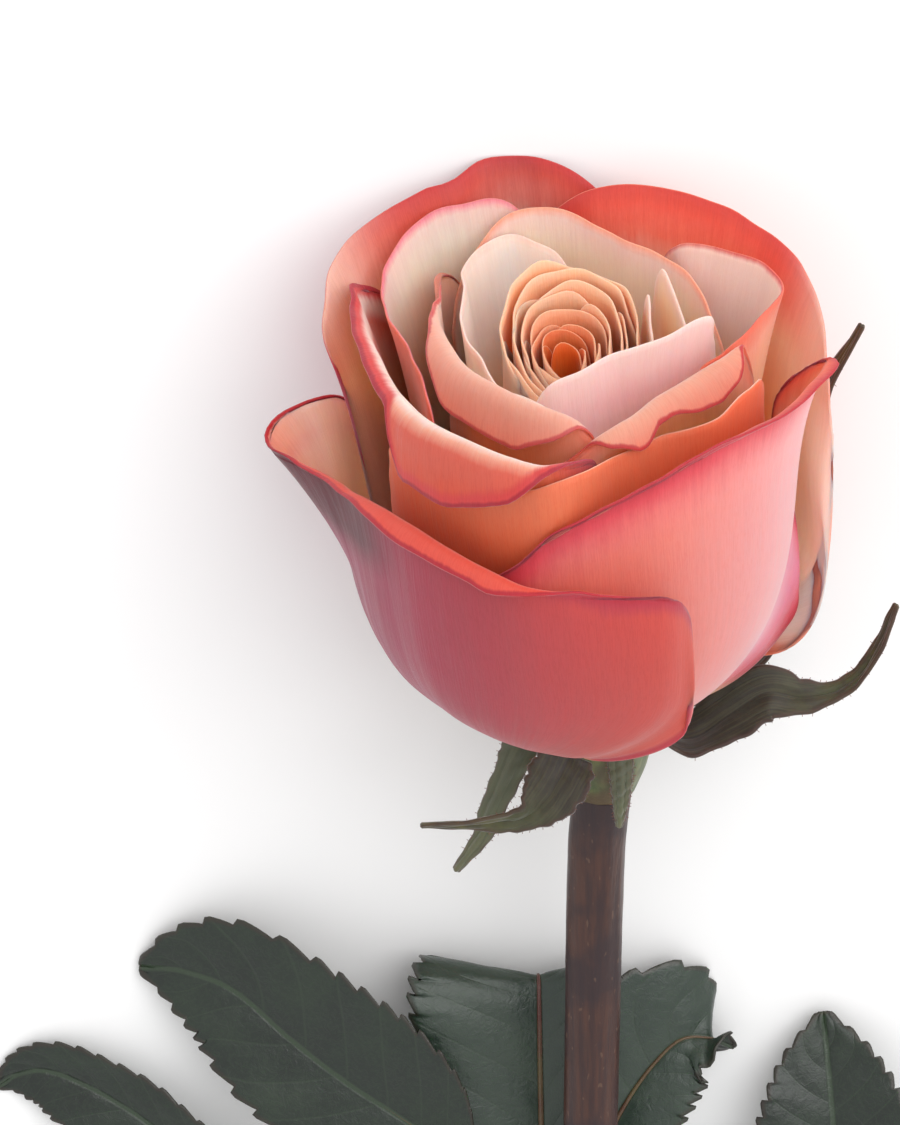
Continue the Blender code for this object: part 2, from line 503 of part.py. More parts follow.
def blade_surface(stations, across, shares, sides, fold=0.0, tooth=0.0):
    """A grid of points along a path of (x, y, z, left half width, right half width, roll in degrees)."""
    along = curve_at(stations, shares)
    nearby = curve_at(stations, np.clip(np.asarray(shares) + 0.01, 0, 1)) - curve_at(
        stations, np.clip(np.asarray(shares) - 0.01, 0, 1))
    tangent = unit(nearby[:, :3])
    across = np.array(across, float)
    side = unit(across - (tangent @ across)[:, None] * tangent)
    normal = np.cross(side, tangent)
    roll = np.radians(along[:, 5])[:, None]
    side, normal = side * np.cos(roll) + normal * np.sin(roll), normal * np.cos(roll) - side * np.sin(roll)
    rows = []
    for i in range(len(shares)):
        row = []
        for share in sides:
            width = along[i, 3] if share < 0 else along[i, 4]
            point = along[i, :3] + side[i] * share * width + normal[i] * fold * abs(share) * width
            if abs(share) == 1 and i % 2:
                point = point + tooth * (side[i] * share + 0.3 * tangent[i])
            row.append(point)
        rows.append(row)
    return np.array(rows)


def leaflet_surface(leaflet, sides=(-1, 0, 1)):
    """One serrated leaflet: two rows of points to a tooth, one at the notch and one at the point."""
    path = np.array(leaflet["path"], float)
    facing = np.array(leaflet.get("facing", (0, -1, 0)), float)
    across = np.cross(path[1] - path[0], facing)
    left, right = leaflet["widths"]
    shares = [0]
    for tooth in range(LEAFLET_TEETH):
        shares += [(tooth + 0.6) / LEAFLET_TEETH, (tooth + 1) / LEAFLET_TEETH]
    marks = np.linspace(0, 1, len(LEAFLET_OUTLINE))
    stations = []
    for point, outline in zip(curve_at(path, marks), LEAFLET_OUTLINE):
        stations.append((*point, left * outline, right * outline, leaflet.get("roll", 0)))
    depth = TOOTH_DEPTH * max(leaflet["widths"])
    return blade_surface(stations, across, shares, sides, LEAF_FOLD, depth)


def tube(name, points, radii, collection, sides=8):
    """A closed round tube through the points."""
    curve = bpy.data.curves.new(name, "CURVE")
    curve.dimensions = "3D"
    curve.bevel_depth = MM
    curve.bevel_resolution = max(sides // 4 - 1, 0)
    curve.resolution_u = 1
    curve.use_fill_caps = True
    line = curve.splines.new("POLY")
    line.points.add(len(points) - 1)
    for knot, place, radius in zip(line.points, points, radii):
        knot.co = (*lay_down(place), 1)
        knot.radius = radius
    guide = bpy.data.objects.new(name, curve)
    collection.objects.link(guide)
    mesh = bpy.data.meshes.new_from_object(guide.evaluated_get(bpy.context.evaluated_depsgraph_get()))
    bpy.data.objects.remove(guide, do_unlink=True)
    merge_close(mesh)
    return new_object(name, mesh, collection)


def merge_close(mesh):
    """Weld the doubled points of a mesh and turn its faces outward."""
    build = bmesh.new()
    build.from_mesh(mesh)
    bmesh.ops.remove_doubles(build, verts=build.verts, dist=1e-6)
    bmesh.ops.recalc_face_normals(build, faces=build.faces)
    build.to_mesh(mesh)
    build.free()


def evaluated(name, thing, collection):
    """A plain copy of an object with its modifiers applied, in place of it."""
    mesh = bpy.data.meshes.new_from_object(thing.evaluated_get(bpy.context.evaluated_depsgraph_get()))
    matrix = thing.matrix_world.copy()
    bpy.data.objects.remove(thing, do_unlink=True)
    made = new_object(name, mesh, collection)
    made.matrix_world = matrix
    return made


def keep_largest_piece(mesh):
    """Drop the loose scraps that are left beside the main body."""
    build = bmesh.new()
    build.from_mesh(mesh)
    bmesh.ops.remove_doubles(build, verts=build.verts, dist=1e-6)
    bmesh.ops.triangulate(build, faces=build.faces)
    bmesh.ops.dissolve_degenerate(build, edges=build.edges, dist=2e-6)
    unseen = set(build.faces)
    pieces = []
    while unseen:
        front = [unseen.pop()]
        piece = list(front)
        while front:
            face = front.pop()
            for edge in face.edges:
                for other in edge.link_faces if len(edge.link_faces) == 2 else ():
                    if other in unseen:
                        unseen.remove(other)
                        front.append(other)
                        piece.append(other)
        pieces.append(piece)
    pieces.sort(key=len)
    for piece in pieces[:-1]:
        bmesh.ops.delete(build, geom=piece, context="FACES")
    loose = [vertex for vertex in build.verts if not vertex.link_faces]
    bmesh.ops.delete(build, geom=loose, context="VERTS")
    build.to_mesh(mesh)
    build.free()


def fuse(name, first, others, collection):
    """One solid from a piece and a collection of pieces sunk into it."""
    join = first.modifiers.new("fuse", "BOOLEAN")
    join.operation = "UNION"
    join.operand_type = "COLLECTION"
    join.collection = others
    join.solver = "EXACT"
    join.use_self = True
    bpy.context.view_layer.update()
    made = evaluated(name, first, collection)
    for old in list(others.objects):
        bpy.data.objects.remove(old, do_unlink=True)
    bpy.data.collections.remove(others)
    made.data.name = name
    keep_largest_piece(made.data)
    return made


def lathe(name, profile, collection, steps):
    """A round solid from a profile of (radius, height), in the bloom frame."""
    build = bmesh.new()
    knots = [build.verts.new((radius * MM, 0, height * MM)) for radius, height in profile]
    for a, b in zip(knots, knots[1:]):
        build.edges.new((a, b))
    mesh = bpy.data.meshes.new(name)
    build.to_mesh(mesh)
    build.free()
    made = new_object(name, mesh, collection)
    turn = made.modifiers.new("turn", "SCREW")
    turn.steps = steps
    turn.render_steps = steps
    turn.use_merge_vertices = True
    turn.merge_threshold = 1e-5
    turn.use_normal_calculate = True
    made = evaluated(name, made, collection)
    for vertex in made.data.vertices:
        vertex.co = Vector(lay_down(bloom_to_stem(np.array(vertex.co) / MM)))
    merge_close(made.data)
    made.data.shade_smooth()
    return made


def scratch(name, parent):
    """A collection for pieces that are about to be fused."""
    made = bpy.data.collections.new(name)
    parent.children.link(made)
    return made


def build_heart(surfaces, rose):
    """The tight middle of the bloom: small petals that rise from one core."""
    pieces = scratch("heart_pieces", rose)
    for surface in surfaces[::HEART_TAKE_EVERY]:
        points = lay_down(bloom_to_stem(bloom_points(coarse(surface, 8, 8)[HEART_FIRST_ROW:])))
        evaluated("heart_petal", sheet("heart_petal", points, pieces), pieces)
    core = lathe("heart_core", HEART_CORE, rose, 16)
    return fuse("heart", core, pieces, rose)


def build_leaf(name, leaf, rose):
    """A compound leaf: the rachis with its stipules, and the leaflets sunk into it."""
    pieces = scratch(name + "_pieces", rose)
    for leaflet in leaf["leaflets"]:
        evaluated("leaflet", sheet("leaflet", lay_down(leaflet_surface(leaflet)), pieces), pieces)
    path = curve_at(leaf["rachis"], np.linspace(0, 1, 13))
    for leaflet in leaf["leaflets"][1:]:
        base, inside = curve_at(leaflet["path"], (0, 0.12))
        nearest = path[np.argmin(np.linalg.norm(path - base, axis=1))]
        tube("stalk", [nearest, inside], [0.6, 0.5], pieces)
    stations = [(*path[i], width, width, 0) for i, width in zip((3, 4, 5, 6), STIPULE_WIDTHS)]
    across = np.cross(path[5] - path[3], (0, -1, 0))
    stipules = blade_surface(stations, across, np.linspace(0, 1, 7), (-1, 0, 1), 0.3)
    evaluated("stipules", sheet("stipules", lay_down(stipules), pieces), pieces)
    radii = RACHIS_RADIUS * np.linspace(1.5, 0.8, len(path))
    return fuse(name, tube(name, path, radii, rose), pieces, rose)


def build_stem(rose):
    """The stem, a little thicker at its nodes, with prickles that point down."""
    path = curve_at(STEM_PATH, np.linspace(0, 1, STEM_RINGS))
    radii = path[:, 3].copy()
    for node in STEM_NODES:
        radii += 0.55 * np.exp(-((path[:, 2] - node) / 5.0) ** 2)
    pieces = scratch("prickles", rose)
    for height, turn, length in PRICKLES:
        centre = path[np.argmin(np.abs(path[:, 2] - height))]
        out = np.array([math.sin(math.radians(turn)), -math.cos(math.radians(turn)), 0])
        down = np.array([0, 0, -1])
        points = [centre[:3] + out * 2.2, centre[:3] + out * (3.4 + 0.35 * length) + down * 0.2,
                  centre[:3] + out * (3.4 + 0.75 * length) + down * 0.9, centre[:3] + out * (3.4 + length) + down * 1.9]
        tube("prickle", points, [2.0, 1.0, 0.55, 0.12], pieces)
    return fuse("stem", tube("stem", path[:, :3], radii, rose, sides=16), pieces, rose)


def main():
    for old in list(bpy.data.objects):
        bpy.data.objects.remove(old, do_unlink=True)
    rose = bpy.data.collections.new("rose")
    bpy.context.scene.collection.children.link(rose)
    heart, petals = bloom_surfaces()
    for name, surface in petals.items():
        made = sheet(name, lay_down(bloom_to_stem(bloom_points(coarse(surface)))), rose)
        made.data.materials.append(material(name, PETALS[name]["colour"], 0.5))
    made = build_heart(heart, rose)
    made.data.materials.append(material("heart", PEACH, 0.5))
    made = lathe("hip", HIP_PROFILE, rose, HIP_STEPS)
    made.data.materials.append(material("hip", LEAF_GREEN, 0.45))
    for name, sepal in SEPALS.items():
        stations = [(x, y, z, width, width, roll) for x, y, z, width, roll in sepal["path"]]
        surface = blade_surface(stations, sepal["across"], np.linspace(0, 1, 13), (-1, -0.4, 0.4, 1), 0.15, 0.25)
        made = sheet(name, lay_down(surface), rose)
        made.data.materials.append(material(name, SEPAL_GREEN, 0.6))
    for name, leaf in LEAVES.items():
        made = build_leaf(name, leaf, rose)
        made.data.materials.clear()
        made.data.materials.append(material(name, LEAF_GREEN, 0.4))
    made = build_stem(rose)
    made.data.materials.append(material("stem", STEM_BROWN, 0.5))


main()
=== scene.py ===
"""The looks of a cut garden rose that lies on a table: its pieces, soft light and the camera.

Lengths are in millimetres until they enter a mesh. Two frames are used before the rose is laid down:
the stem frame has x to the right, y towards the table and z up the stem, with its origin at the bloom's
base; the bloom frame is round the bloom's own axis, with the azimuth 0 on the side away from the table.
"""
import json
import math

import bpy
import numpy as np
from mathutils import Matrix, Vector

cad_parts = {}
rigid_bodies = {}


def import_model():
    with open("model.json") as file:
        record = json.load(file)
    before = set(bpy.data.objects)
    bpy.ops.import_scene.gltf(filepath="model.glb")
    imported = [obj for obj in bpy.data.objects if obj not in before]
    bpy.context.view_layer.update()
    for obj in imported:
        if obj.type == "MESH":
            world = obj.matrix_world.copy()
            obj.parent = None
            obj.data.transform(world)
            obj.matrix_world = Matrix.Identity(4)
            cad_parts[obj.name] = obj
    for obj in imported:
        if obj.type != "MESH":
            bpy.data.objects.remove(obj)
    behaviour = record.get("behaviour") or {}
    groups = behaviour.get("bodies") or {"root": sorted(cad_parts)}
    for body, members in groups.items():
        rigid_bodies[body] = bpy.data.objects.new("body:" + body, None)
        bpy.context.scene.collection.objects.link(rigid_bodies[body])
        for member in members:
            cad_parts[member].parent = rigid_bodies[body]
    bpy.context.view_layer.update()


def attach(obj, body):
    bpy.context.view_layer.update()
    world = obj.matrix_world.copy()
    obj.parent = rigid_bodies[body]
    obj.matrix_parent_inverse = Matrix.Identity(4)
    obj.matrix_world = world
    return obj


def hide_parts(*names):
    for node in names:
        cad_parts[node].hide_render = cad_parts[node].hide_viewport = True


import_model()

MM = 0.001

# How the bloom sits on its stem, and how the rose lies
BLOOM_NOD = math.radians(10.0)
BLOOM_LEAN = math.radians(5.0)
BLOOM_SHIFT = 2.5
BLOOM_SHIFT_HEIGHT = 46.0
LIE_PITCH = math.radians(2.5)
LIE_SHIFT = (-11.0, -140.15, 22.05)

# The photograph's camera, in the stem frame: its size in pixels, and where the bloom's base is in it
PICTURE_SIZE = (900, 1125)
PIXELS_PER_MM = 8.58
BASE_PIXEL = (597, 700)
CAMERA_RISE = math.radians(25.0)
CAMERA_DISTANCE = 650.0
SENSOR = 36.0

# The table top and the light, in metres and watts
FLOOR_REACH = 6.0
ROOM_STRENGTH = 0.92
KEY_PLACE = (-0.55, -0.8, 1.0)
KEY_TARGET = (0, -0.15, 0.03)
KEY_SIZE = 1.3
KEY_POWER = 9.5

# Petals: the grid that each is worked out on, how much finer it is drawn, and how thick it is
PETAL_STEP = 1.0
PETAL_COLUMNS = 49
PETAL_ROWS = 33
FLAP_ROWS = 8
FINER = 2
PETAL_HALF_THICK = 0.13
HEART_HALF_THICK = 0.11
RUFFLE = 0.14
NOTCH = 0.12
HEART_RUFFLE = 0.28
HEART_NOTCH = 0.55
RUFFLE_LENGTHS = (17.0, 9.3, 5.1)
RUFFLE_REACH = 2.6
NOTCH_LENGTHS = (19.0, 11.0, 6.3)
NOTCH_REACH = 2.2
LOW_HANDLE = 0.55
HIGH_HANDLE = 0.42

# Each big petal, from the inside out. A rim station is (azimuth, radius, height, outward lean in degrees),
# a flap station is (azimuth, length, direction in degrees from straight up), and the root is
# (radius, height, rise in degrees). "full" is how far the petal bulges, at each azimuth.
PETALS = {
    "petal_slip_inner": dict(
        root=(3.9, 6.6, 63),
        rim=((76, 9.4, 37, 0), (89, 9.4, 46, 2), (104, 9.4, 48, 4), (117, 10, 50, 6), (127, 11, 46.5, 2),
             (140, 12.4, 37, 0))),
    "petal_slip_outer": dict(
        root=(4.1, 6.4, 61),
        rim=((84, 13.6, 38, 0), (96, 13.8, 46.4, 3), (111, 13.6, 49, 5), (124, 13.9, 51.4, 6),
             (134, 14.8, 48, 3), (147, 16, 38, 0))),
    "petal_blush_right": dict(
        root=(4.4, 6.0, 58),
        rim=((-45, 7.5, 41, 0), (-17, 7.6, 47, 0), (10, 6.9, 48.3, 0), (45, 7.6, 49.3, 5),
             (68, 11.3, 50, 10), (82, 16.2, 51, 15), (90, 16.5, 47, 8), (104, 17, 40, 5))),
    "petal_cream_left": dict(
        root=(4.5, 5.7, 56), full=((0, 0.95),),
        rim=((-190, 18.5, 39, 0), (-181, 19.2, 46.5, 4), (-173, 20.7, 48.5, 8), (-163, 22.8, 49, 12),
             (-144, 19.1, 49, 12), (-128, 14.4, 49, 8), (-78, 10, 48.5, 0), (-40, 11.8, 48.5, 0),
             (-14, 12.8, 48, 0), (4, 15, 46.5, 0), (16, 14.5, 41, 0))),
    "petal_back_inner": dict(
        root=(4.9, 4.9, 49),
        rim=((-262, 17, 38, 0), (-249, 17.3, 46, 5), (-232, 18.2, 48.5, 8), (-208, 18.8, 49.5, 8),
             (-193, 20.9, 50, 10), (-179, 23.4, 51, 12), (-166, 24.2, 50.5, 12), (-152, 23.5, 46, 8),
             (-142, 21.5, 40, 5))),
    "petal_left_flap": dict(
        root=(4.9, 4.9, 49), gap=1.2,
        rim=((-158, 20.5, 36, 5), (-147, 20.6, 45.5, 8), (-120, 16.3, 48.6, 8), (-90, 13.3, 49.5, 8),
             (-58, 12.3, 49.5, 12), (-30, 13, 49.5, 15), (-4, 15.3, 48.3, 15), (8, 16.2, 45.2, 10),
             (16, 16, 38, 5)),
        flap=((-150, 0, 90), (-135, 0.3, 100), (-110, 1.2, 120), (-90, 2.6, 140), (-72, 5, 155),
              (-58, 7.5, 160), (-20, 8, 160), (-4, 5, 150), (10, 0.5, 90))),
    "petal_back_right": dict(
        root=(5.1, 4.6, 47), full=((0, 0.85),),
        rim=((58, 16, 38, 0), (67, 15.8, 46.4, 4), (73, 18, 48.1, 6), (83, 20.9, 49.4, 8),
             (93, 23.4, 50, 14), (99, 25, 50, 20), (109, 25, 50.3, 20), (115, 24, 50.5, 18),
             (127, 21.7, 50.5, 14), (138, 20.2, 50, 8), (150, 22.5, 45, 4), (158, 22, 36, 0))),
    "petal_right_flap": dict(
        root=(5.3, 4.3, 50), full=((0, 0.9),),
        rim=((-18, 17, 39, 5), (9, 17.2, 46, 10), (25, 16.4, 47.1, 15), (38, 15.6, 47.3, 15),
             (56, 16.4, 47.7, 15), (66, 18, 48.2, 12), (73, 19.1, 48.3, 10), (78, 19.4, 44, 3),
             (82, 19.2, 36, 0)),
        flap=((-20, 0.5, 90), (3, 1.2, 130), (12, 4.2, 150), (22, 6.0, 150), (30, 4.4, 150),
              (38, 4.4, 150), (46, 5.4, 150), (56, 6.0, 150), (63, 5.2, 150), (69, 2.6, 130),
              (75, 0.8, 100), (83, 0, 90))),
    "petal_back_left": dict(
        root=(5.6, 3.9, 46), full=((0, 0.85),),
        rim=((-179, 23.5, 38, 5), (-170, 26, 50, 12), (-156, 27.5, 51.5, 18), (-146, 28.1, 51, 20),
             (-132, 26.9, 49, 20), (-126, 25.5, 48, 18), (-112, 21.5, 48.3, 12), (-95, 18.1, 48.5, 8),
             (-76, 17, 48.3, 3), (-62, 17.6, 46.5, 0), (-53, 18, 38, 0))),
    "petal_left_front_flap": dict(
        root=(5.8, 3.2, 42), full=((0, 0.85),),
        rim=((-148, 25.5, 34, 5), (-137, 27.3, 42, 10), (-121, 27.2, 48.2, 18), (-110, 24.4, 48.8, 20),
             (-90, 21.4, 49.2, 18), (-74, 20.8, 49.2, 18), (-56, 21.4, 49.2, 18), (-43, 22.4, 49.2, 18),
             (-29, 23.6, 49.2, 16), (-16, 25, 48.6, 12), (-7, 25.4, 47.8, 8), (1, 22.5, 46.3, 5),
             (7, 19.2, 44, 2), (12, 18.6, 36, 0)),
        flap=((-150, 0, 90), (-115, 1.2, 110), (-95, 2.4, 125), (-62, 3, 135), (-55, 3.6, 150),
              (-49, 9.5, 172), (-30, 9.9, 172), (-15, 7.1, 170), (-7, 3.6, 155), (4, 0.8, 120))),
    "petal_front_tucked": dict(
        root=(6.0, 2.3, 37), full=((0, 0.85),), tucked=True,
        rim=((-78, 21.5, 32, 0), (-66, 22, 42.5, 0), (-45, 22.5, 45.3, 0), (-15, 24, 45.8, 0),
             (-6, 24.2, 46.8, 0), (0, 22.6, 47, 0), (6, 20.4, 46.4, 0), (13, 18.4, 45.6, 0),
             (25, 17.8, 45.2, 0), (33, 18, 45.1, 0), (40, 19.3, 45.1, 3), (47, 21.4, 45.7, 7),
             (55, 22.6, 47.2, 9), (62, 23.2, 47.5, 10), (66, 23.3, 47.3, 10), (70, 22.7, 44.5, 4),
             (75, 21.4, 39.5, 2), (80, 20.6, 32, 0))),
    "petal_guard_front_right": dict(
        root=(6.8, 0.6, 27), full=((40, 0.9), (90, 0.98)),
        rim=((-42, 25, 28, 0), (-17, 27, 36.4, 0), (-7, 26.8, 40.6, 0), (6, 26.2, 43, 2), (22, 26, 45, 5),
             (38, 26.5, 46.3, 10), (54, 27.6, 46.2, 16), (68, 28.4, 46.2, 22), (80, 29.2, 46, 28),
             (82, 26.3, 44.3, 18), (82.8, 23.6, 41.5, 8), (83.2, 22.6, 38, 2), (83.8, 22.9, 34, 0),
             (84.5, 23.6, 30.5, 0), (87, 24.3, 23, -5), (90, 23.8, 15, -10)),
        flap=((-40, 0, 90), (20, 0.6, 60), (34, 1.0, 110), (45, 2.0, 130), (76, 2.2, 130), (82, 0, 60))),
    "petal_guard_back_right": dict(
        root=(7.1, -0.1, 29), full=((88, 0.6), (112, 0.8)), gap=1.5,
        rim=((104, 24, 9.5, 0), (96, 24.4, 12, 0), (90, 26, 17, 0), (88, 28.2, 24.5, 0),
             (87.5, 29, 33, 0), (88, 29, 40, 5), (92, 29, 44.5, 15), (101, 29, 48, 25),
             (112, 28.6, 50, 28), (124, 27.8, 51, 25), (140, 26.4, 52.3, 22), (156, 24.8, 53, 22),
             (172, 23.5, 52, 16), (186, 25, 46, 8), (192, 26, 38, 5))),
    "petal_guard_back_left": dict(
        root=(7.2, -0.5, 20), full=((0, 0.84),),
        rim=((-119, 26.5, 22, 0), (-113, 27.2, 34, 5), (-105, 27, 42, 12), (-107, 28.6, 46, 20),
             (-114, 28.7, 49, 25), (-124, 29.5, 51, 28), (-138, 31, 51.5, 25), (-150, 30.2, 52.8, 25),
             (-156, 29.4, 53, 25), (-165, 30.3, 54, 30), (-174, 29, 53.7, 30), (-186, 26.2, 52, 22),
             (-202, 28.5, 44, 10))),
    "petal_guard_front_left": dict(
        root=(7.2, -0.8, 25), full=((-128, 1.15), (-75, 1.12), (-35, 0.88), (24, 0.8)),
        rim=((-128, 25.5, 25, 0), (-121, 26.5, 32, 0), (-111, 27, 37, 4), (-105, 28.5, 38.6, 6),
             (-102.5, 31.3, 38.2, 8), (-101, 33.8, 37, 8), (-95, 34.5, 35.6, 8), (-86, 30, 35.4, 8),
             (-76, 27.2, 36, 8), (-58, 26.2, 37.6, 8), (-43, 26.2, 37.8, 5), (-29, 26.8, 36.8, 5),
             (-19, 27.7, 35.7, 5), (-11, 29, 35, 5), (2, 31, 35.4, 5), (14, 32.2, 35, 2),
             (20.5, 30.4, 32, 0), (23, 29, 27.5, -5), (22, 27.6, 22.5, -10)),
        flare=((-113, 0), (-105, 1.2), (-102.5, 3.7), (-101, 6), (-95, 6.5), (-86, 2.6), (-76, 0.3),
               (-66, 0)),
        flap=((-128, 0, 90), (-104, 0.3, 90), (-94, 1.4, 120), (-84, 2.4, 140), (-62, 2.8, 140),
              (-45, 4.4, 155), (-20, 4.6, 155), (-8, 2.6, 150), (5, 0.4, 120), (18, 0, 90))),
}

# The hip's outline as (radius, height), and its rings and sides
HIP_PROFILE = ((1.9, 7.5), (2.9, 5.7), (4.3, 2.9), (5.6, -0.2), (6.1, -1.7), (6.3, -3.0), (6.1, -5.5),
               (5.4, -8.5), (4.4, -11), (3.7, -12.6))
HIP_RINGS = 80
HIP_SIDES = 72

# Centre line of the stem: (x, y, z, radius)
STEM_PATH = ((0.8, 2.3, -13.0, 3.4), (0.1, 2.9, -24, 3.4), (-0.1, 3.3, -60, 3.3), (-0.5, 3.4, -110, 3.4),
             (-0.8, 3.4, -180, 3.5), (-0.9, 3.3, -260, 3.7), (-0.9, 3.2, -340, 3.9))
STEM_RINGS = 520
STEM_SIDES = 48
STEM_NODES = (-82, -108, -140, -158)
NODE_SWELL = 0.55
NODE_REACH = 5.0
# Prickles: (height on the stem, direction round it in degrees, length)
PRICKLES = ((-122, 200, 3.2), (-171, 60, 3.6), (-188, 300, 4.0), (-214, 150, 4.2), (-236, 20, 4.4),
            (-262, 250, 4.2), (-281, 110, 4.6), (-307, 330, 4.4))
PRICKLE_RINGS = 24
PRICKLE_SIDES = 16
# A prickle's centre line as (distance out, share of its length further out, drop), and its half sizes
PRICKLE_LINE = ((2.2, 0, 0), (3.5, 0, 0), (3.4, 0.35, 0.2), (3.4, 0.75, 0.9), (3.4, 1, 1.9))
PRICKLE_SIZES = ((2.6, 1.1), (2.2, 0.9), (1.1, 0.55), (0.5, 0.34), (0.06, 0.05))

# Sepals: stations (x, y, z, half width, roll in degrees) and the way the blade spreads sideways
SEPALS = {
    "sepal_right_upright": dict(
        across=(0.6, -0.8, 0),
        path=((4.9, 5.6, -4.0, 2.4, 0), (10.8, 11.5, -5.0, 3.4, 0), (19, 15.8, -1.5, 3.0, 0),
              (23.8, 16.2, 9, 2.2, 0), (25.4, 15.4, 21, 1.6, 0), (26.2, 13.6, 32.5, 1.1, 0),
              (30.3, 11, 42.6, 0.35, 0))),
    "sepal_right_curled": dict(
        across=(0, -1, 0),
        path=((7.1, -1.2, -3.9, 2.4, 0), (11, -1, -4.5, 3.2, -20), (15.5, -0.8, -1.5, 3.3, -45),
              (19.6, -1.5, 1.6, 3.1, -60), (23.7, -1.5, 1.1, 2.0, -55), (27.7, -1, 1.6, 1.2, -40),
              (30.7, -0.8, 4, 1.0, -30), (33, -0.6, 8.2, 0.9, -25), (34.4, -0.4, 12.4, 0.35, -20))),
    "sepal_front_short": dict(
        across=(1, 0, 0),
        path=((2.6, -6.2, -4.6, 1.4, 0), (2.7, -6.8, -7, 1.15, 0), (2.7, -6.6, -10, 0.8, 0),
              (2.6, -6, -13.4, 0.3, 0))),
    "sepal_front_twisted": dict(
        across=(-0.6, 0.45, 0.6),
        path=((-3.2, -6.6, -3.9, 2.6, 0), (-4.3, -8.0, -5.8, 3.6, 0), (-6.1, -9.0, -8.4, 3.0, 15),
              (-8.4, -9.5, -10.4, 1.6, 35), (-12.5, -10, -10.9, 1.2, 60),
              (-20.4, -10.5, -11, 0.35, 100))),
    "sepal_left_hanging": dict(
        across=(0.85, -0.4, -0.2),
        path=((-7.3, 1.8, -4.2, 1.6, 60), (-8.9, 1.4, -7.0, 2.0, 30), (-10.3, 1.4, -10.4, 1.6, 10),
              (-12.5, 1.6, -15.9, 1.35, 0), (-13.3, 2, -18.8, 1.0, 0), (-16.4, 3, -24, 0.35, 0))),
}
SEPAL_ROWS = 121
SEPAL_COLUMNS = 25
SEPAL_HALF_THICK = 0.24
SEPAL_KEEL = 0.28
SEPAL_HAIRS = 26
HAIR_SIDES = 5

# Leaves: the rachis as (x, y, z) from the stem outward, and its leaflets. A leaflet's path runs from its
# base to its tip; it faces away from the table unless another way is given.
LEAVES = {
    "leaf_behind": dict(
        rachis=((-0.2, 7.7, -82), (-1.1, 9.3, -80.5), (-3.2, 9.7, -76), (-6, 9.6, -71)),
        leaflets=(dict(path=((-5.6, 9.6, -72), (-6, 11.2, -60), (-6.2, 13.2, -49), (-6.3, 15.4, -45.4),
                             (-6.4, 16.9, -48.6), (-6.5, 17.0, -55)), widths=(15, 7)),
                  dict(path=((-2.4, 9.8, -77.5), (1.5, 12, -68), (6.5, 13.9, -59), (12, 15.5, -54),
                             (17.8, 16.15, -56)), widths=(12.5, 6.5), roll=5),
                  dict(path=((-2.0, 9.7, -79), (-11, 11, -81), (-19.5, 13, -82.5)), widths=(6.5, 6.5)))),
    "leaf_left": dict(
        rachis=((-4.85, 3.4, -108), (-6.6, 3.5, -105.5), (-9.7, 4.4, -90), (-12.5, 6.0, -77),
                (-15, 8, -66)),
        leaflets=(dict(path=((-14.6, 7.6, -67.2), (-22.5, 8.8, -62), (-33.5, 11.4, -55),
                             (-45, 15.4, -46.4), (-55.3, 19.4, -46.2)), widths=(9.5, 12)),
                  dict(path=((-9.6, 4.5, -89.5), (-24, 1.8, -92), (-38, 4, -96)), widths=(9.5, 9.5)),
                  dict(path=((-9.4, 4.3, -87), (-7.7, -8, -86), (-5, -20, -80)), widths=(9, 9),
                       facing=(1, 0, 0.3)))),
    "leaf_right": dict(
        rachis=((3.7, 3.6, -140), (5.8, 4.2, -137.5), (12.5, 6.4, -119), (23, 8.2, -101), (32, 8, -84)),
        leaflets=(dict(path=((31.5, 8, -85), (31, 10.6, -74), (30, 13.9, -62.5), (28.9, 17.8, -51.8)),
                       widths=(9.8, 9.8)),
                  dict(path=((20.5, 7.9, -105.5), (36, 8.5, -102.5), (52, 13.5, -98)), widths=(10, 10)),
                  dict(path=((19.5, 7.8, -107), (15.5, 9.5, -92), (14, 14.5, -77)), widths=(8, 8)))),
    "leaf_lower_left": dict(
        rachis=((-4.2, 6.1, -158), (-5.9, 7.4, -155.5), (-14.2, 10.8, -130), (-26, 14.2, -100),
                (-36, 13.5, -78)),
        leaflets=(dict(path=((-35.5, 13.6, -79), (-49, 15, -70.5), (-59.3, 16.8, -63.4),
                             (-68, 18.6, -60.4), (-73.5, 19, -63)), widths=(6, 5)),
                  dict(path=((-29.5, 14, -93), (-45, 13, -95), (-61, 16, -97)), widths=(8.5, 8.5)),
                  dict(path=((-28.5, 14, -95), (-26, 15.3, -86), (-23, 17, -76)), widths=(5.5, 5.5)),
                  dict(path=((-18.5, 12, -118.5), (-33, 11, -123), (-48, 14, -127)), widths=(8.5, 8.5)),
                  dict(path=((-17.5, 12, -120.5), (-13, 12.8, -110),
                             (-7, 15, -101)), widths=(6.5, 6.5)))),
}
LEAFLET_OUTLINE = (0.10, 0.62, 0.90, 1.0, 0.95, 0.78, 0.50, 0.05)
LEAFLET_TEETH = 17
TOOTH_ROWS = 6
TOOTH_DEPTH = 0.085
LEAFLET_COLUMNS = 41
LEAF_FOLD = 0.22
LEAF_VEINS = 9
VEIN_SLANT = 1.5
LEAF_QUILT = 0.16
LEAF_SWAY = 0.28
LEAF_HALF_THICK = 0.16
RIB_RINGS = 40
RIB_END = 0.97
RACHIS_RADIUS = 0.75
RACHIS_RINGS = 60
RACHIS_SIDES = 14
STALK_RINGS = 12
STALK_SIDES = 10
STIPULE_WIDTHS = (0.5, 2.0, 1.4, 0.3)
STIPULE_ROWS = 41
STIPULE_COLUMNS = 17
STIPULE_HALF_THICK = 0.2

# How a petal widens from its claw, how tightly its flap rolls, and where a flare starts
CLAW_SHARE = 0.5
WIDEST_AT = 0.55
ROLL_RADIUS = 1.6
FLARE_FROM = 21.0
FLARE_CURVE = 1.25

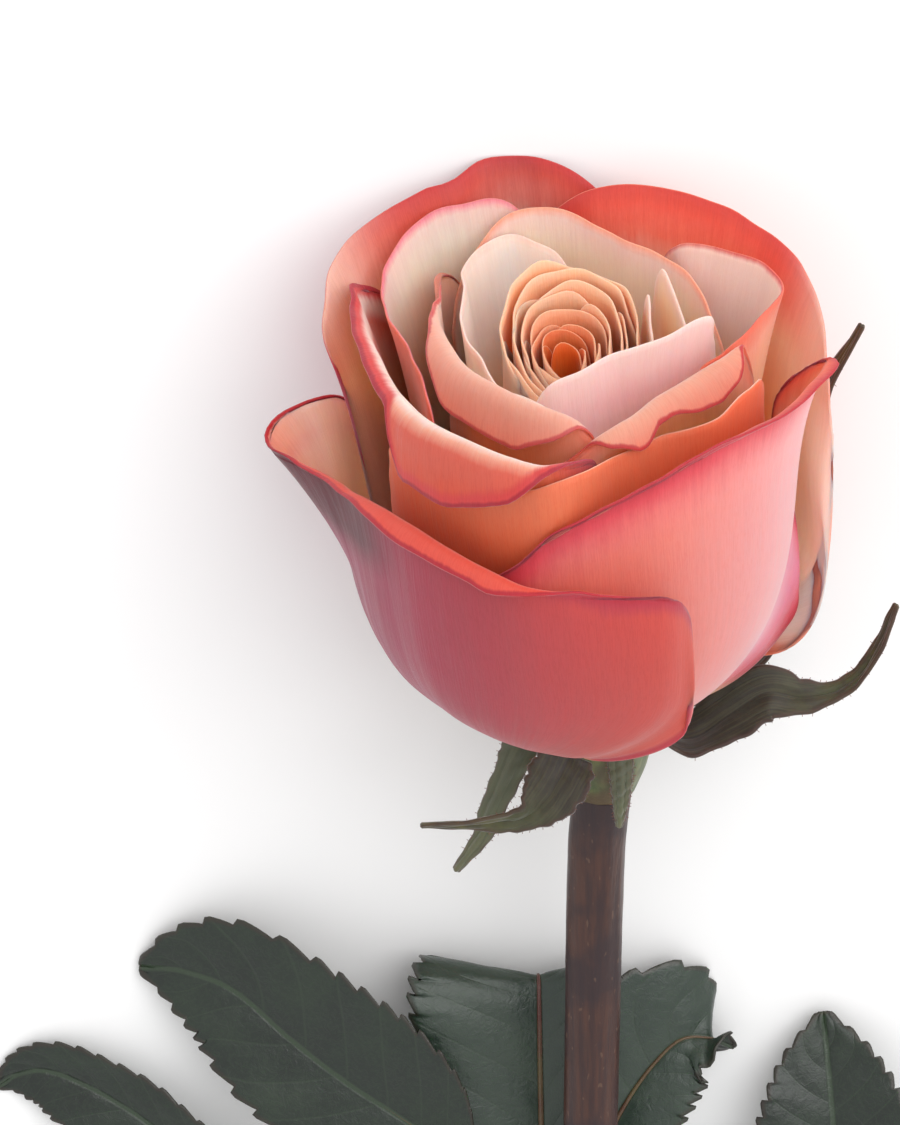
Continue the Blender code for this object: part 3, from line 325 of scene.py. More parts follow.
# The heart: small petals on the golden angle; the outer ones stand further to the back and to the right.
# A rim station is (share of the half width, how far in, drop, outward lean in degrees).
HEART_PETALS = 20
GOLDEN_ANGLE = 137.5
HEART_RADII = (1.7, 7.6)
HEART_HALF_WIDTH = 97.0
HEART_OVAL = 0.25
HEART_HEIGHT = 44.5
HEART_RISE = (0.3, 0.6)
HEART_RIM = ((-1, -0.5, 9, 0), (-0.8, -0.35, 2.5, 0), (-0.45, -0.2, 0.3, 0), (0, 0, 0, 0),
             (0.45, 0.2, 0.2, 0), (0.8, 0.35, 1.8, 0), (1, 0.5, 9, 0))


def curve_at(stations, shares):
    """Points, at shares from 0 to 1, of a smooth curve that passes through all the stations."""
    s = np.asarray(stations, float)
    s = np.vstack([2 * s[0] - s[1], s, 2 * s[-1] - s[-2]])
    t = np.asarray(shares, float) * (len(s) - 3 - 1e-9)
    i = t.astype(int)
    f = (t - i)[:, None]
    a, b, c, d = s[i], s[i + 1], s[i + 2], s[i + 3]
    square, cube = 2 * a - 5 * b + 4 * c - d, 3 * b - a - 3 * c + d
    return 0.5 * (2 * b + (c - a) * f + square * f ** 2 + cube * f ** 3)


def even_rim(stations, count):
    """Rim stations resampled so that they lie evenly far apart along the rim."""
    fine = curve_at(stations, np.linspace(0, 1, 40 * len(stations)))
    around = np.radians(fine[:, 0])
    place = np.stack([fine[:, 1] * np.sin(around), fine[:, 1] * np.cos(around), fine[:, 2]], 1)
    run = np.concatenate([[0], np.cumsum(np.linalg.norm(np.diff(place, axis=0), axis=1))])
    steps = np.linspace(0, run[-1], count)
    return np.stack([np.interp(steps, run, fine[:, k]) for k in range(fine.shape[1])], 1)


def petal_surface(petal, columns=PETAL_COLUMNS, rows=PETAL_ROWS):
    """One petal as a grid [row, column] of (azimuth, radius, height), from its claw up to its margin."""
    rim = even_rim(petal["rim"], columns)
    azimuth, radius, height, lean = rim[:, 0], rim[:, 1], rim[:, 2], np.radians(rim[:, 3])
    flare_at, flare = np.array(petal.get("flare", ((0, 0),)), float).T
    flare = np.interp(azimuth, flare_at, flare)
    radius = radius - flare
    root_radius, root_height, rise = petal["root"]
    rise = math.radians(rise)
    span = np.hypot(radius - root_radius, height - root_height)[:, None]
    start = np.stack([np.full(columns, root_radius), np.full(columns, root_height)], 1)
    end = np.stack([radius, height], 1)
    full_at, full = np.array(petal.get("full", ((0, 1),)), float).T
    full = np.interp(azimuth, full_at, full)[:, None]
    low = start + LOW_HANDLE * full * span * np.array([math.cos(rise), math.sin(rise)])
    high = end - HIGH_HANDLE * span * np.cos(lean)[:, None] * np.stack([np.sin(lean), np.cos(lean)], 1)
    t = np.linspace(0, 1, rows)[:, None, None]
    wall = (1 - t) ** 3 * start + 3 * (1 - t) ** 2 * t * low + 3 * (1 - t) * t ** 2 * high + t ** 3 * end
    up = np.clip((wall[..., 1] - FLARE_FROM) / np.maximum(height - FLARE_FROM, 1), 0, 1)
    wall[..., 0] += flare * up ** FLARE_CURVE
    if "flap" in petal:
        wall = np.concatenate([wall, rolled_flap(petal["flap"], azimuth, wall[-1], lean)])
    share = np.clip(np.linspace(0, 1, wall.shape[0])[:, None] / WIDEST_AT, 0, 1)
    share = CLAW_SHARE + (1 - CLAW_SHARE) * share * share * (3 - 2 * share)
    middle = 0.5 * (azimuth[0] + azimuth[-1])
    return np.dstack([middle + (azimuth - middle) * share, wall])


def rolled_flap(stations, azimuth, crest, lean):
    """Rows of (radius, height) that roll outward over the crest and hang down to the margin."""
    at, length, fall = np.array(sorted(stations), float).T
    step = np.interp(azimuth, at, length) / FLAP_ROWS
    fall = np.radians(np.interp(azimuth, at, fall))
    angle = lean.copy()
    point = crest
    rows = []
    for _ in range(FLAP_ROWS):
        turn = np.minimum(step / ROLL_RADIUS, np.maximum(fall - angle, 0))
        angle = angle + turn
        heading = np.stack([np.sin(angle - turn / 2), np.cos(angle - turn / 2)], 1)
        point = point + step[:, None] * heading
        rows.append(point)
    return np.array(rows)


class Nest:
    """How far out each direction is taken by the petals that are already in the bloom."""

    CENTRE = 18.0
    AZIMUTH_BINS = 180
    UP_STEP = 0.8
    UP_BINS = 90
    UNDER_STEP = 0.32
    UP_ZERO = 32.0

    def __init__(self):
        self.taken = np.zeros((self.AZIMUTH_BINS, self.UP_BINS))

    def place(self, surface):
        """The cell of every point, and its distance outward from the axis or, low down, from the centre."""
        up = surface[..., 2] - self.CENTRE
        radius = surface[..., 1]
        out = np.where(up < 0, np.hypot(radius, up), radius)
        along = np.where(up < 0, np.degrees(np.arctan2(up, radius)) * self.UNDER_STEP, up)
        column = (np.mod(surface[..., 0], 360) * self.AZIMUTH_BINS / 360).astype(int) % self.AZIMUTH_BINS
        row = np.clip(((along + self.UP_ZERO) / self.UP_STEP).astype(int), 0, self.UP_BINS - 1)
        return column, row, out

    def add(self, surface):
        column, row, out = self.place(between_lines(surface))
        np.maximum.at(self.taken, (column, row), out)

    def push_clear(self, surface, gap):
        """Move a petal outward until it is clear of all that the nest holds."""
        around = largest_near(self.taken, 1, wrap=True)
        for reach in (2, 1):
            column, row, out = self.place(surface)
            need = around[column, row]
            push = np.where(need > 0, np.maximum(need + gap - out, 0), 0)
            push = smooth(largest_near(push, reach), reach)
            if reach > 1:
                push = smooth(push, reach)
            up = surface[..., 2] - self.CENTRE
            grow = 1 + push / np.maximum(out, 0.5)
            radius = np.where(up < 0, surface[..., 1] * grow, surface[..., 1] + push)
            height = np.where(up < 0, self.CENTRE + up * grow, surface[..., 2])
            surface = np.dstack([surface[..., 0], radius, height])
        return surface


def between_lines(grid):
    """The grid with twice as many rows and columns."""
    for _ in range(2):
        fine = np.empty((2 * grid.shape[0] - 1,) + grid.shape[1:])
        fine[::2] = grid
        fine[1::2] = 0.5 * (grid[1:] + grid[:-1])
        grid = fine.swapaxes(0, 1)
    return grid


def largest_near(grid, reach, wrap=False):
    """Largest value within so many cells of each cell."""
    padded = np.pad(grid, ((reach, reach), (0, 0)), mode="wrap" if wrap else "edge")
    padded = np.pad(padded, ((0, 0), (reach, reach)), mode="edge")
    rows, columns = grid.shape
    shifts = range(2 * reach + 1)
    return np.max([padded[i:i + rows, j:j + columns] for i in shifts for j in shifts], axis=0)


def smooth(grid, reach):
    """Mean value within so many cells of each cell."""
    padded = np.pad(grid, reach, mode="edge")
    rows, columns = grid.shape
    shifts = range(2 * reach + 1)
    return np.mean([padded[i:i + rows, j:j + columns] for i in shifts for j in shifts], axis=0)


def heart_petal(number):
    """Radius, and rim and root, of one small petal of the heart."""
    share = number / (HEART_PETALS - 1)
    azimuth = 150 + GOLDEN_ANGLE * number
    radius = HEART_RADII[0] + (HEART_RADII[1] - HEART_RADII[0]) * share
    rim = []
    for part, inward, drop, lean in HEART_RIM:
        at = azimuth + part * HEART_HALF_WIDTH
        back = -math.cos(math.radians(at))
        height = HEART_HEIGHT + radius * (HEART_RISE[0] + HEART_RISE[1] * back)
        height += 0.4 * math.sin(2 * number) - drop
        rim.append((at, radius * (1 + HEART_OVAL * max(back, 0)) - inward, height, lean))
    root = (2.6 + 1.2 * share, 11 - 2 * share, 70)
    return radius, dict(root=root, rim=rim, full=((0, 0.45 + 0.55 * share),))


def bloom_points(surface):
    """A petal's grid as points: x to the right, y towards the table, z along the bloom's axis."""
    around, radius, height = np.radians(surface[..., 0]), surface[..., 1], surface[..., 2]
    return np.stack([radius * np.sin(around), -radius * np.cos(around), height], -1)


def polar_points(points):
    """The inverse of bloom_points."""
    azimuth = np.unwrap(np.unwrap(np.arctan2(points[..., 0], -points[..., 1]), axis=1), axis=0)
    azimuth = np.degrees(azimuth)
    return np.stack([azimuth, np.hypot(points[..., 0], points[..., 1]), points[..., 2]], -1)


def shift_heart(surface, radius):
    """The heart's petals lean towards the table, the outer ones more, and from left to right."""
    points = bloom_points(surface)
    lean = np.clip(points[..., 2] / HEART_HEIGHT, 0, 1) ** 2
    points[..., 0] += (0.2 * radius - 0.8) * lean
    points[..., 1] += (0.25 * radius + 0.8) * lean
    return polar_points(points)


def turned(a, b, angle):
    """Two coordinates after a turn in their plane."""
    return a * math.cos(angle) - b * math.sin(angle), a * math.sin(angle) + b * math.cos(angle)


def bloom_to_stem(points):
    """Bend, nod and lean the bloom on its stem."""
    p = np.array(points, float)
    p[..., 1] += BLOOM_SHIFT * (np.clip(p[..., 2], 0, None) / BLOOM_SHIFT_HEIGHT) ** 2
    x, y, z = p[..., 0], p[..., 1], p[..., 2]
    y, z = turned(y, z, BLOOM_NOD)
    x, z = turned(x, z, BLOOM_LEAN)
    return np.stack([x, y, z], -1)


def lie_turn(points):
    """The turn, without the shift, that lays the upright stem frame on the table."""
    p = np.asarray(points, float)
    y, z = turned(-p[..., 2], -p[..., 1], -LIE_PITCH)
    return np.stack([-p[..., 0], y, z], -1)


def lay_down(points):
    """From the upright stem frame to the rose that lies on the table, in metres."""
    return (lie_turn(points) + np.array(LIE_SHIFT)) * MM


def bloom_surfaces():
    """The petals' grids in the bloom frame, each pushed clear of those inside it."""
    walls = Nest()
    walls_and_flaps = Nest()
    heart = []
    for number in range(HEART_PETALS):
        radius, petal = heart_petal(number)
        surface = shift_heart(petal_surface(petal), radius)
        walls.add(surface)
        walls_and_flaps.add(surface)
        heart.append(surface)
    petals = {}
    for name, petal in PETALS.items():
        nest = walls if petal.get("tucked") else walls_and_flaps
        surface = nest.push_clear(petal_surface(petal), petal.get("gap", PETAL_STEP))
        petals[name] = surface
        walls.add(surface[:PETAL_ROWS])
        walls_and_flaps.add(surface)
    return heart, petals


def unit(vectors):
    """Vectors scaled to length one."""
    return vectors / np.maximum(np.linalg.norm(vectors, axis=-1, keepdims=True), 1e-9)


def refined(grid, factor):
    """The same grid with more lines, on smooth curves through the old ones."""
    for _ in range(2):
        count = grid.shape[0]
        shares = np.linspace(0, 1, factor * (count - 1) + 1)
        fine = curve_at(grid.reshape(count, -1), shares)
        grid = fine.reshape((len(shares),) + grid.shape[1:]).swapaxes(0, 1)
    return grid


def grid_normals(points):
    """Unit normals of a grid, on the side that a petal turns outward."""
    return unit(np.cross(np.gradient(points, axis=1), np.gradient(points, axis=0)))


def run_along(points, axis):
    """Distance along the lines of a grid, from its first line."""
    steps = np.linalg.norm(np.diff(points, axis=axis), axis=-1)
    return np.insert(np.cumsum(steps, axis=axis), 0, 0, axis=axis)


def waves(place, lengths, seed):
    """A sum of smooth waves of these lengths with seeded phases, between about -1 and 1."""
    chance = np.random.default_rng(seed)
    total = sum(np.sin(2 * math.pi * (place / length + chance.random())) for length in lengths)
    return total / len(lengths)


def circle(sides):
    """Angles all round a circle."""
    return 2 * math.pi * np.arange(sides) / sides


class Piece:
    """A mesh gathered from thin closed shells and tubes, with a few numbers kept on every point."""

    def __init__(self):
        self.points = []
        self.faces = []
        self.place = []
        self.side = []
        self.extra = []
        self.count = 0

    def add(self, points, faces, place, side, extra):
        self.points.append(points.reshape(-1, 3))
        self.faces.extend(tuple(int(corner) + self.count for corner in face) for face in faces)
        self.place.append(place.reshape(-1, 3))
        self.side.append(side.reshape(-1))
        self.extra.append(extra.reshape(-1))
        self.count += self.points[-1].shape[0]

    def sheet(self, points, half_thick, place, extra):
        """A thin shell about a grid of points, with a rounded margin all round."""
        rows, columns = points.shape[:2]
        normals = grid_normals(points)
        half = half_thick * normals
        index = np.arange(rows * columns).reshape(rows, columns)
        loop = np.concatenate([index[0, :-1], index[:-1, -1], index[-1, :0:-1], index[:0:-1, 0]])
        flat = points.reshape(-1, 3)[loop]
        outward = unit(np.cross(np.roll(flat, -1, 0) - np.roll(flat, 1, 0), normals.reshape(-1, 3)[loop]))
        rim = flat + 0.8 * half_thick * outward
        corners = [index[:-1, :-1], index[:-1, 1:], index[1:, 1:], index[1:, :-1]]
        quads = np.stack(corners, -1).reshape(-1, 4)
        total = rows * columns
        edge = 2 * total + np.arange(len(loop))
        after, edge_after = np.roll(loop, -1), np.roll(edge, -1)
        faces = np.concatenate([
            quads, quads[:, ::-1] + total,
            np.stack([after, loop, edge, edge_after], 1),
            np.stack([edge_after, edge, loop + total, after + total], 1)])
        both = np.concatenate([(points + half).reshape(-1, 3), (points - half).reshape(-1, 3), rim])
        place = place.reshape(-1, 3)
        extra = extra.reshape(-1)
        side = np.concatenate([np.ones(total), np.zeros(total), np.full(len(loop), 0.5)])
        self.add(both, faces, np.concatenate([place, place, place[loop]]), side,
                 np.concatenate([extra, extra, extra[loop]]))

    def tube(self, path, radii, sides, across=(1, 0, 0), side=1.0, extra=0.0):
        """A closed tube; radii is one number for each ring, or one for each point of it."""
        path = np.asarray(path, float)
        rings = len(path)
        tangent = unit(np.gradient(path, axis=0))
        across = np.asarray(across, float)
        first = unit(across - (tangent @ across)[:, None] * tangent)
        second = np.cross(tangent, first)
        angle = circle(sides)
        radii = np.asarray(radii, float)
        if radii.ndim == 1:
            radii = np.repeat(radii[:, None], sides, 1)
        angle_in = angle[None, :, None]
        out = first[:, None] * np.cos(angle_in) + second[:, None] * np.sin(angle_in)
        points = path[:, None] + out * radii[..., None]
        index = np.arange(rings * sides).reshape(rings, sides)
        turned = np.roll(index, -1, 1)
        faces = list(np.stack([index[:-1], turned[:-1], turned[1:], index[1:]], -1).reshape(-1, 4))
        start, end = rings * sides, rings * sides + 1
        faces += [(start, b, a) for a, b in zip(index[0], turned[0])]
        faces += [(end, a, b) for a, b in zip(index[-1], turned[-1])]
        run = run_along(path[:, None], 0)[:, :1]
        shape = (rings, sides)
        place = np.stack([np.broadcast_to(angle, shape), np.broadcast_to(run, shape), radii], -1)
        place = np.concatenate([place.reshape(-1, 3), [[0, 0, 0], [0, run[-1, 0], 0]]])
        points = np.concatenate([points.reshape(-1, 3), [path[0], path[-1]]])
        total = len(points)
        self.add(points, faces, place, np.full(total, side), np.full(total, extra))

    def make(self, name, material, node, to_stem=None):
        """The finished object, in place of its CAD node."""
        points = np.concatenate(self.points)
        if to_stem:
            points = to_stem(points)
        mesh = bpy.data.meshes.new(name)
        mesh.from_pydata(lay_down(points).tolist(), [], self.faces)
        mesh.shade_smooth()
        mesh.attributes.new("place", "FLOAT_VECTOR", "POINT").data.foreach_set(
            "vector", np.concatenate(self.place).astype(np.float32).ravel())
        for mark, values in (("side", self.side), ("extra", self.extra)):
            mesh.attributes.new(mark, "FLOAT", "POINT").data.foreach_set(
                "value", np.concatenate(values).astype(np.float32))
        mesh.materials.append(material)
        made = bpy.data.objects.new(name, mesh)
        bpy.context.scene.collection.objects.link(made)
        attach(made, "root")
        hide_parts(node)
        return made


def srgb(red, green, blue):
    """A linear colour from the bytes of a screen colour."""
    shares = [v / 255 for v in (red, green, blue)]
    linear = [((v + 0.055) / 1.055) ** 2.4 if v > 0.04045 else v / 12.92 for v in shares]
    return (*linear, 1.0)


class Paint:
    """Short calls that add shader nodes to one material."""

    def __init__(self, name, roughness, **sockets):
        self.material = bpy.data.materials.new(name)
        self.material.use_nodes = True
        self.tree = self.material.node_tree
        self.shader = self.tree.nodes["Principled BSDF"]
        self.shader.inputs["Roughness"].default_value = roughness
        for socket, value in sockets.items():
            self.shader.inputs[socket.replace("_", " ")].default_value = value

    def set(self, socket, value):
        """Link a socket to another, or give it a plain value."""
        if isinstance(value, bpy.types.NodeSocket):
            self.tree.links.new(value, socket)
        else:
            socket.default_value = value

    def mark(self, name, output):
        """A number or vector that the mesh carries."""
        node = self.tree.nodes.new("ShaderNodeAttribute")
        node.attribute_name = name
        return node.outputs[output]

    def split(self, vector):
        node = self.tree.nodes.new("ShaderNodeSeparateXYZ")
        self.set(node.inputs[0], vector)
        return node.outputs[0], node.outputs[1], node.outputs[2]

    def join(self, x, y, z):
        node = self.tree.nodes.new("ShaderNodeCombineXYZ")
        for socket, value in zip(node.inputs, (x, y, z)):
            self.set(socket, value)
        return node.outputs[0]

    def math(self, operation, a, b=0.0):
        node = self.tree.nodes.new("ShaderNodeMath")
        node.operation = operation
        self.set(node.inputs[0], a)
        self.set(node.inputs[1], b)
        return node.outputs[0]

    def times(self, a, b):
        return self.math("MULTIPLY", a, b)

    def plus(self, a, b):
        return self.math("ADD", a, b)

    def less_half(self, value):
        """How far a value is above one half."""
        return self.math("SUBTRACT", value, 0.5)

    def size(self, value):
        """A value without its sign."""
        return self.math("ABSOLUTE", value)

    def zone(self, value, rise, full, fall, end):
        """One between full and fall, and nothing before rise and after end."""
        return self.times(self.fade(value, rise, full), self.fade(value, end, fall))

    def fade(self, value, low, high, to_low=0.0, to_high=1.0):
        """A smooth step from one value to another."""
        node = self.tree.nodes.new("ShaderNodeMapRange")
        node.interpolation_type = "SMOOTHSTEP"
        for socket, number in zip(node.inputs, (value, low, high, to_low, to_high)):
            self.set(socket, number)
        return node.outputs[0]

    def noise(self, vector, scale, detail=3.0, roughness=0.5, distortion=0.0):
        node = self.tree.nodes.new("ShaderNodeTexNoise")
        self.set(node.inputs["Vector"], vector)
        node.inputs["Scale"].default_value = scale
        node.inputs["Detail"].default_value = detail
        node.inputs["Roughness"].default_value = roughness
        node.inputs["Distortion"].default_value = distortion
        return node.outputs["Fac"]

    def ramp(self, value, stops, reach=1.0):
        """A colour for a value: stops are (value, colour), with values up to reach."""
        node = self.tree.nodes.new("ShaderNodeValToRGB")
        self.set(node.inputs[0], self.math("DIVIDE", value, reach) if reach != 1.0 else value)
        elements = node.color_ramp.elements
        for number, (place, colour) in enumerate(stops):
            element = elements[number] if number < 2 else elements.new(1.0)
            element.position = place / reach
            element.color = colour
        return node.outputs[0]

    def mix(self, share, a, b, blend="MIX"):
        node = self.tree.nodes.new("ShaderNodeMix")
        node.data_type = "RGBA"
        node.blend_type = blend
        self.set(node.inputs[0], share)
        self.set(node.inputs[6], a)
        self.set(node.inputs[7], b)
        return node.outputs[2]

    def objects(self):
        """Coordinates in the object, in metres."""
        return self.tree.nodes.new("ShaderNodeTexCoord").outputs["Object"]

    def bump(self, height, strength, distance):
        node = self.tree.nodes.new("ShaderNodeBump")
        node.inputs["Strength"].default_value = strength
        node.inputs["Distance"].default_value = distance
        self.set(node.inputs["Height"], height)
        self.set(self.shader.inputs["Normal"], node.outputs[0])

    def finish(self, colour, roughness=None):
        self.set(self.shader.inputs["Base Color"], colour)
        if roughness is not None:
            self.set(self.shader.inputs["Roughness"], roughness)
        return self.material


# Colours of the petals, as (distance from the margin in mm, colour) on the inner and on the outer face.
# A rolled flap shows its inner face: its colours are at (distance past the crest + FLAP_RAMP_START,
# colour), with edges as (reach in mm, colour). Sideways colours go over the outer face from left to right.
# Calm zones of the inner face and the outer face's painted shade, a dark patch that stands for the shadow
# under a rolled rim, are (rise, full, fall, end), as width shares.
CRIMSON = srgb(168, 44, 58)
DEEP_CORAL = srgb(200, 80, 70)
CORAL = srgb(224, 112, 90)
SALMON = srgb(238, 156, 134)
BLUSH = srgb(242, 200, 190)
CREAM = srgb(250, 224, 212)
PEACH = srgb(246, 200, 168)
APRICOT = srgb(246, 178, 124)
THROAT = srgb(250, 184, 100)
ROSE = srgb(226, 120, 136)
MAUVE = srgb(176, 74, 92)
BASE = srgb(236, 206, 150)
HEART_DEPTH = srgb(206, 92, 30)
# Painted shade: a dark crimson that stands for the shadow under the front left petal's rolled rim
SHADE = srgb(84, 10, 30)
FLAP_RAMP_START = 6.0
RAMP_REACH = 20.0
CALM_SHARE = 0.8
SHADE_FADE = (-11.0, -5.5)

SLIP_INSIDE = ((0, BLUSH), (3, PEACH), (12, APRICOT))
SLIP = dict(inside=SLIP_INSIDE, outside=((0, BLUSH), (3, CREAM), (14, PEACH)))
LOOKS = {
    "heart": dict(
        inside=((0, srgb(244, 188, 160)), (1.2, srgb(240, 168, 132)), (5, srgb(234, 142, 94)),
                (12, srgb(226, 118, 60))),
        outside=((0, srgb(244, 188, 162)), (2, srgb(240, 174, 144)), (9, srgb(236, 146, 106)))),
    "petal_slip_inner": SLIP,
    "petal_slip_outer": SLIP,
    "petal_blush_right": dict(
        inside=SLIP_INSIDE,
        outside=((0, srgb(248, 206, 204)), (6, srgb(244, 186, 190)), (12, srgb(244, 176, 166)),
                 (20, APRICOT))),
    "petal_cream_left": dict(
        inside=((0, BLUSH), (1, CREAM), (10, CREAM), (15, PEACH), (20, APRICOT)),
        outside=((0, BLUSH), (2, CREAM), (14, CREAM), (20, PEACH))),
    "petal_back_inner": dict(
        inside=((0, SALMON), (1, BLUSH), (4, srgb(240, 208, 184)), (16, PEACH)),
        outside=((0, SALMON), (3, BLUSH), (14, PEACH))),
    "petal_left_flap": dict(
        inside=((0, SALMON), (3, BLUSH), (14, PEACH)),
        outside=((0, CORAL), (4, SALMON), (14, srgb(238, 144, 104))),
        flap=((2, BLUSH), (6, srgb(246, 196, 178)), (8.5, srgb(238, 154, 134)),
              (13, srgb(228, 126, 106))),
        edges=((0.5, srgb(196, 84, 84)),)),
    "petal_right_flap": dict(
        inside=((0, CORAL), (3, SALMON), (7, BLUSH), (14, PEACH)),
        outside=((0, CORAL), (4, SALMON), (14, APRICOT)),
        flap=((2, BLUSH), (6, srgb(244, 186, 174)), (8, SALMON), (12, CORAL)),
        edges=((0.5, srgb(186, 60, 62)),)),
    "petal_back_left": dict(
        inside=((0, ROSE), (1.0, BLUSH), (5, srgb(240, 214, 194)), (14, PEACH)),
        outside=((0, CORAL), (4, SALMON), (14, APRICOT))),
    "petal_back_right": dict(
        inside=((0, srgb(190, 84, 84)), (0.6, BLUSH), (8, srgb(234, 204, 194)), (16, PEACH)),
        outside=((0, CORAL), (3, SALMON), (14, APRICOT))),
    "petal_left_front_flap": dict(
        inside=((0, DEEP_CORAL), (4, CORAL), (8, SALMON), (14, APRICOT)),
        outside=((0, MAUVE), (4, CORAL), (14, APRICOT)),
        flap=((3, BLUSH), (7.4, srgb(248, 210, 200)), (8.6, SALMON), (9.8, srgb(214, 96, 80)),
              (14, srgb(206, 82, 60))),
        edges=((2.2, srgb(200, 66, 66)), (0.7, srgb(156, 38, 54)))),
    "petal_front_tucked": dict(
        inside=((0, BLUSH), (4, PEACH), (12, APRICOT)),
        outside=((0, srgb(236, 118, 84)), (8, srgb(234, 102, 64)), (20, srgb(232, 100, 48))),
        throat=srgb(240, 130, 60)),
    "petal_guard_front_right": dict(
        inside=((0, CRIMSON), (1.2, CORAL), (4, SALMON), (14, PEACH)),
        outside=((0, CRIMSON), (2, srgb(202, 68, 82)), (7, srgb(224, 118, 122)), (20, ROSE)), throat=BASE,
        sideways=((0, srgb(224, 100, 78)), (0.35, srgb(232, 124, 112)), (0.58, srgb(240, 158, 160)),
                  (0.76, srgb(244, 188, 192)), (0.9, srgb(228, 128, 150)), (1, srgb(214, 104, 130))),
        sideways_from=9.0),
    "petal_guard_back_right": dict(
        inside=((0, srgb(188, 66, 64)), (2, srgb(218, 88, 76)), (5, srgb(230, 118, 100)),
                (9, srgb(240, 186, 170)), (20, srgb(238, 160, 130))),
        calm=((0.16, 0.28, 0.42, 0.56, srgb(240, 200, 192)),
              (-2, -1, 0.12, 0.24, srgb(238, 108, 82))),
        outside=((0, srgb(222, 104, 84)), (4, srgb(236, 130, 104)), (20, srgb(236, 136, 124))),
        throat=srgb(240, 148, 104)),
    "petal_guard_back_left": dict(
        inside=((0, srgb(176, 54, 60)), (2, DEEP_CORAL), (5, srgb(216, 116, 104)), (9, srgb(226, 190, 176)),
                (20, srgb(230, 178, 156))),
        calm=((0.4, 0.6, 2, 3, srgb(226, 186, 174)),),
        outside=((0, CRIMSON), (2, MAUVE), (8, ROSE), (20, ROSE)), throat=BASE),
    "petal_guard_front_left": dict(
        inside=((0, CRIMSON), (1, srgb(198, 70, 84)), (3, srgb(218, 112, 112)), (6, srgb(236, 172, 164)),
                (14, srgb(238, 160, 142))),
        outside=((0, CRIMSON), (1.5, srgb(160, 54, 74)), (8, MAUVE), (20, MAUVE)), throat=BASE,
        calm=((-2, -1, 0.16, 0.32, srgb(244, 212, 208)),),
        # painted shade under the rolled rim, over this share of the width
        shade=(0.12, 0.2, 0.42, 0.54),
        flap=((2, SALMON), (6, srgb(234, 140, 122)), (8, srgb(218, 88, 74)), (12, srgb(210, 76, 66))),
        edges=((0.6, CRIMSON),),
        # Partly the petal's own mauve-to-coral tone, partly painted shade and light: darkest left of the
        # middle, lightest on the right lobe, as the key light falls
        sideways=((0, srgb(168, 70, 104)), (0.3, srgb(134, 42, 74)), (0.5, srgb(152, 50, 76)),
                  (0.72, srgb(178, 68, 72)), (1, srgb(192, 82, 64))),
        sideways_from=3.0),
}


def petal_material(name, seed, width):
    """Petal skin: a gradient from the margin inward on each face, fine lengthwise veins and a soft sheen."""
    look = LOOKS[name]
    paint = Paint(
        name, 0.5, Subsurface_Weight=0.65, Subsurface_Radius=(1.0, 0.5, 0.3), Subsurface_Scale=0.0016,
        Sheen_Weight=0.2, Sheen_Roughness=0.4, Specular_IOR_Level=0.3)
    across, along, margin = paint.split(paint.mark("place", "Vector"))
    outer = paint.mark("side", "Fac")
    fan = paint.join(across, paint.times(along, 0.05), float(seed))
    streak = paint.noise(fan, 1.1, 5.0, 0.6)
    fine = paint.noise(fan, 4.0, 3.0, 0.6)
    cloud = paint.noise(paint.objects(), 160.0, 3.0, 0.55)
    shift = paint.plus(paint.times(paint.less_half(streak), 2.5), paint.times(paint.less_half(cloud), 3.0))
    shift = paint.times(shift, paint.fade(margin, 0.0, 4.0, 0.15, 1.0))
    depth = paint.plus(margin, shift)
    inside = paint.ramp(depth, look["inside"], RAMP_REACH)
    outside = paint.ramp(depth, look["outside"], RAMP_REACH)
    extra = paint.mark("extra", "Fac")
    share = paint.plus(paint.math("DIVIDE", across, width), 0.5)
    if "flap" in look:
        past = paint.plus(extra, FLAP_RAMP_START)
        flap = paint.ramp(paint.plus(past, paint.times(shift, 0.35)), look["flap"], RAMP_REACH)
        inside = paint.mix(paint.fade(past, 2.0, 4.0), inside, flap)
    for *spread, calm in look.get("calm", ()):
        inside = paint.mix(paint.times(paint.zone(share, *spread), CALM_SHARE), inside, calm)
    if "sideways" in look:
        outside = paint.mix(
            paint.fade(depth, 0.5, look["sideways_from"]), outside, paint.ramp(share, look["sideways"]))
    # Painted shade: the outer face darkens just below the rolled rim, where the rim's shadow falls, over a
    # band of the width
    if "shade" in look:
        shade = paint.times(paint.zone(share, *look["shade"]), paint.fade(extra, *SHADE_FADE))
        outside = paint.mix(shade, outside, SHADE)
    for reach, edge in look.get("edges", ()):
        inside = paint.mix(paint.fade(depth, reach, 0.4 * reach), inside, edge)
    if name == "heart":
        inside = paint.mix(paint.fade(extra, 0.7, 0.0), inside, HEART_DEPTH)
    colour = paint.mix(outer, inside, outside)
    colour = paint.mix(paint.fade(along, 14.0, 2.0), colour, look.get("throat", THROAT))
    vein = paint.fade(paint.size(paint.less_half(fine)), 0.05, 0.0)
    colour = paint.mix(paint.times(vein, 0.16), colour, paint.mix(1.0, colour, colour, "MULTIPLY"))
    light = paint.fade(streak, 0.35, 0.65, 0.98, 1.02)
    colour = paint.mix(1.0, colour, paint.join(light, light, light), "MULTIPLY")
    grain = paint.noise(paint.objects(), 2600.0, 2.0, 0.5)
    paint.bump(paint.plus(paint.times(fine, 0.8), paint.times(grain, 0.25)), 0.22, 0.0003)
    return paint.finish(colour, paint.fade(streak, 0.3, 0.7, 0.42, 0.6))


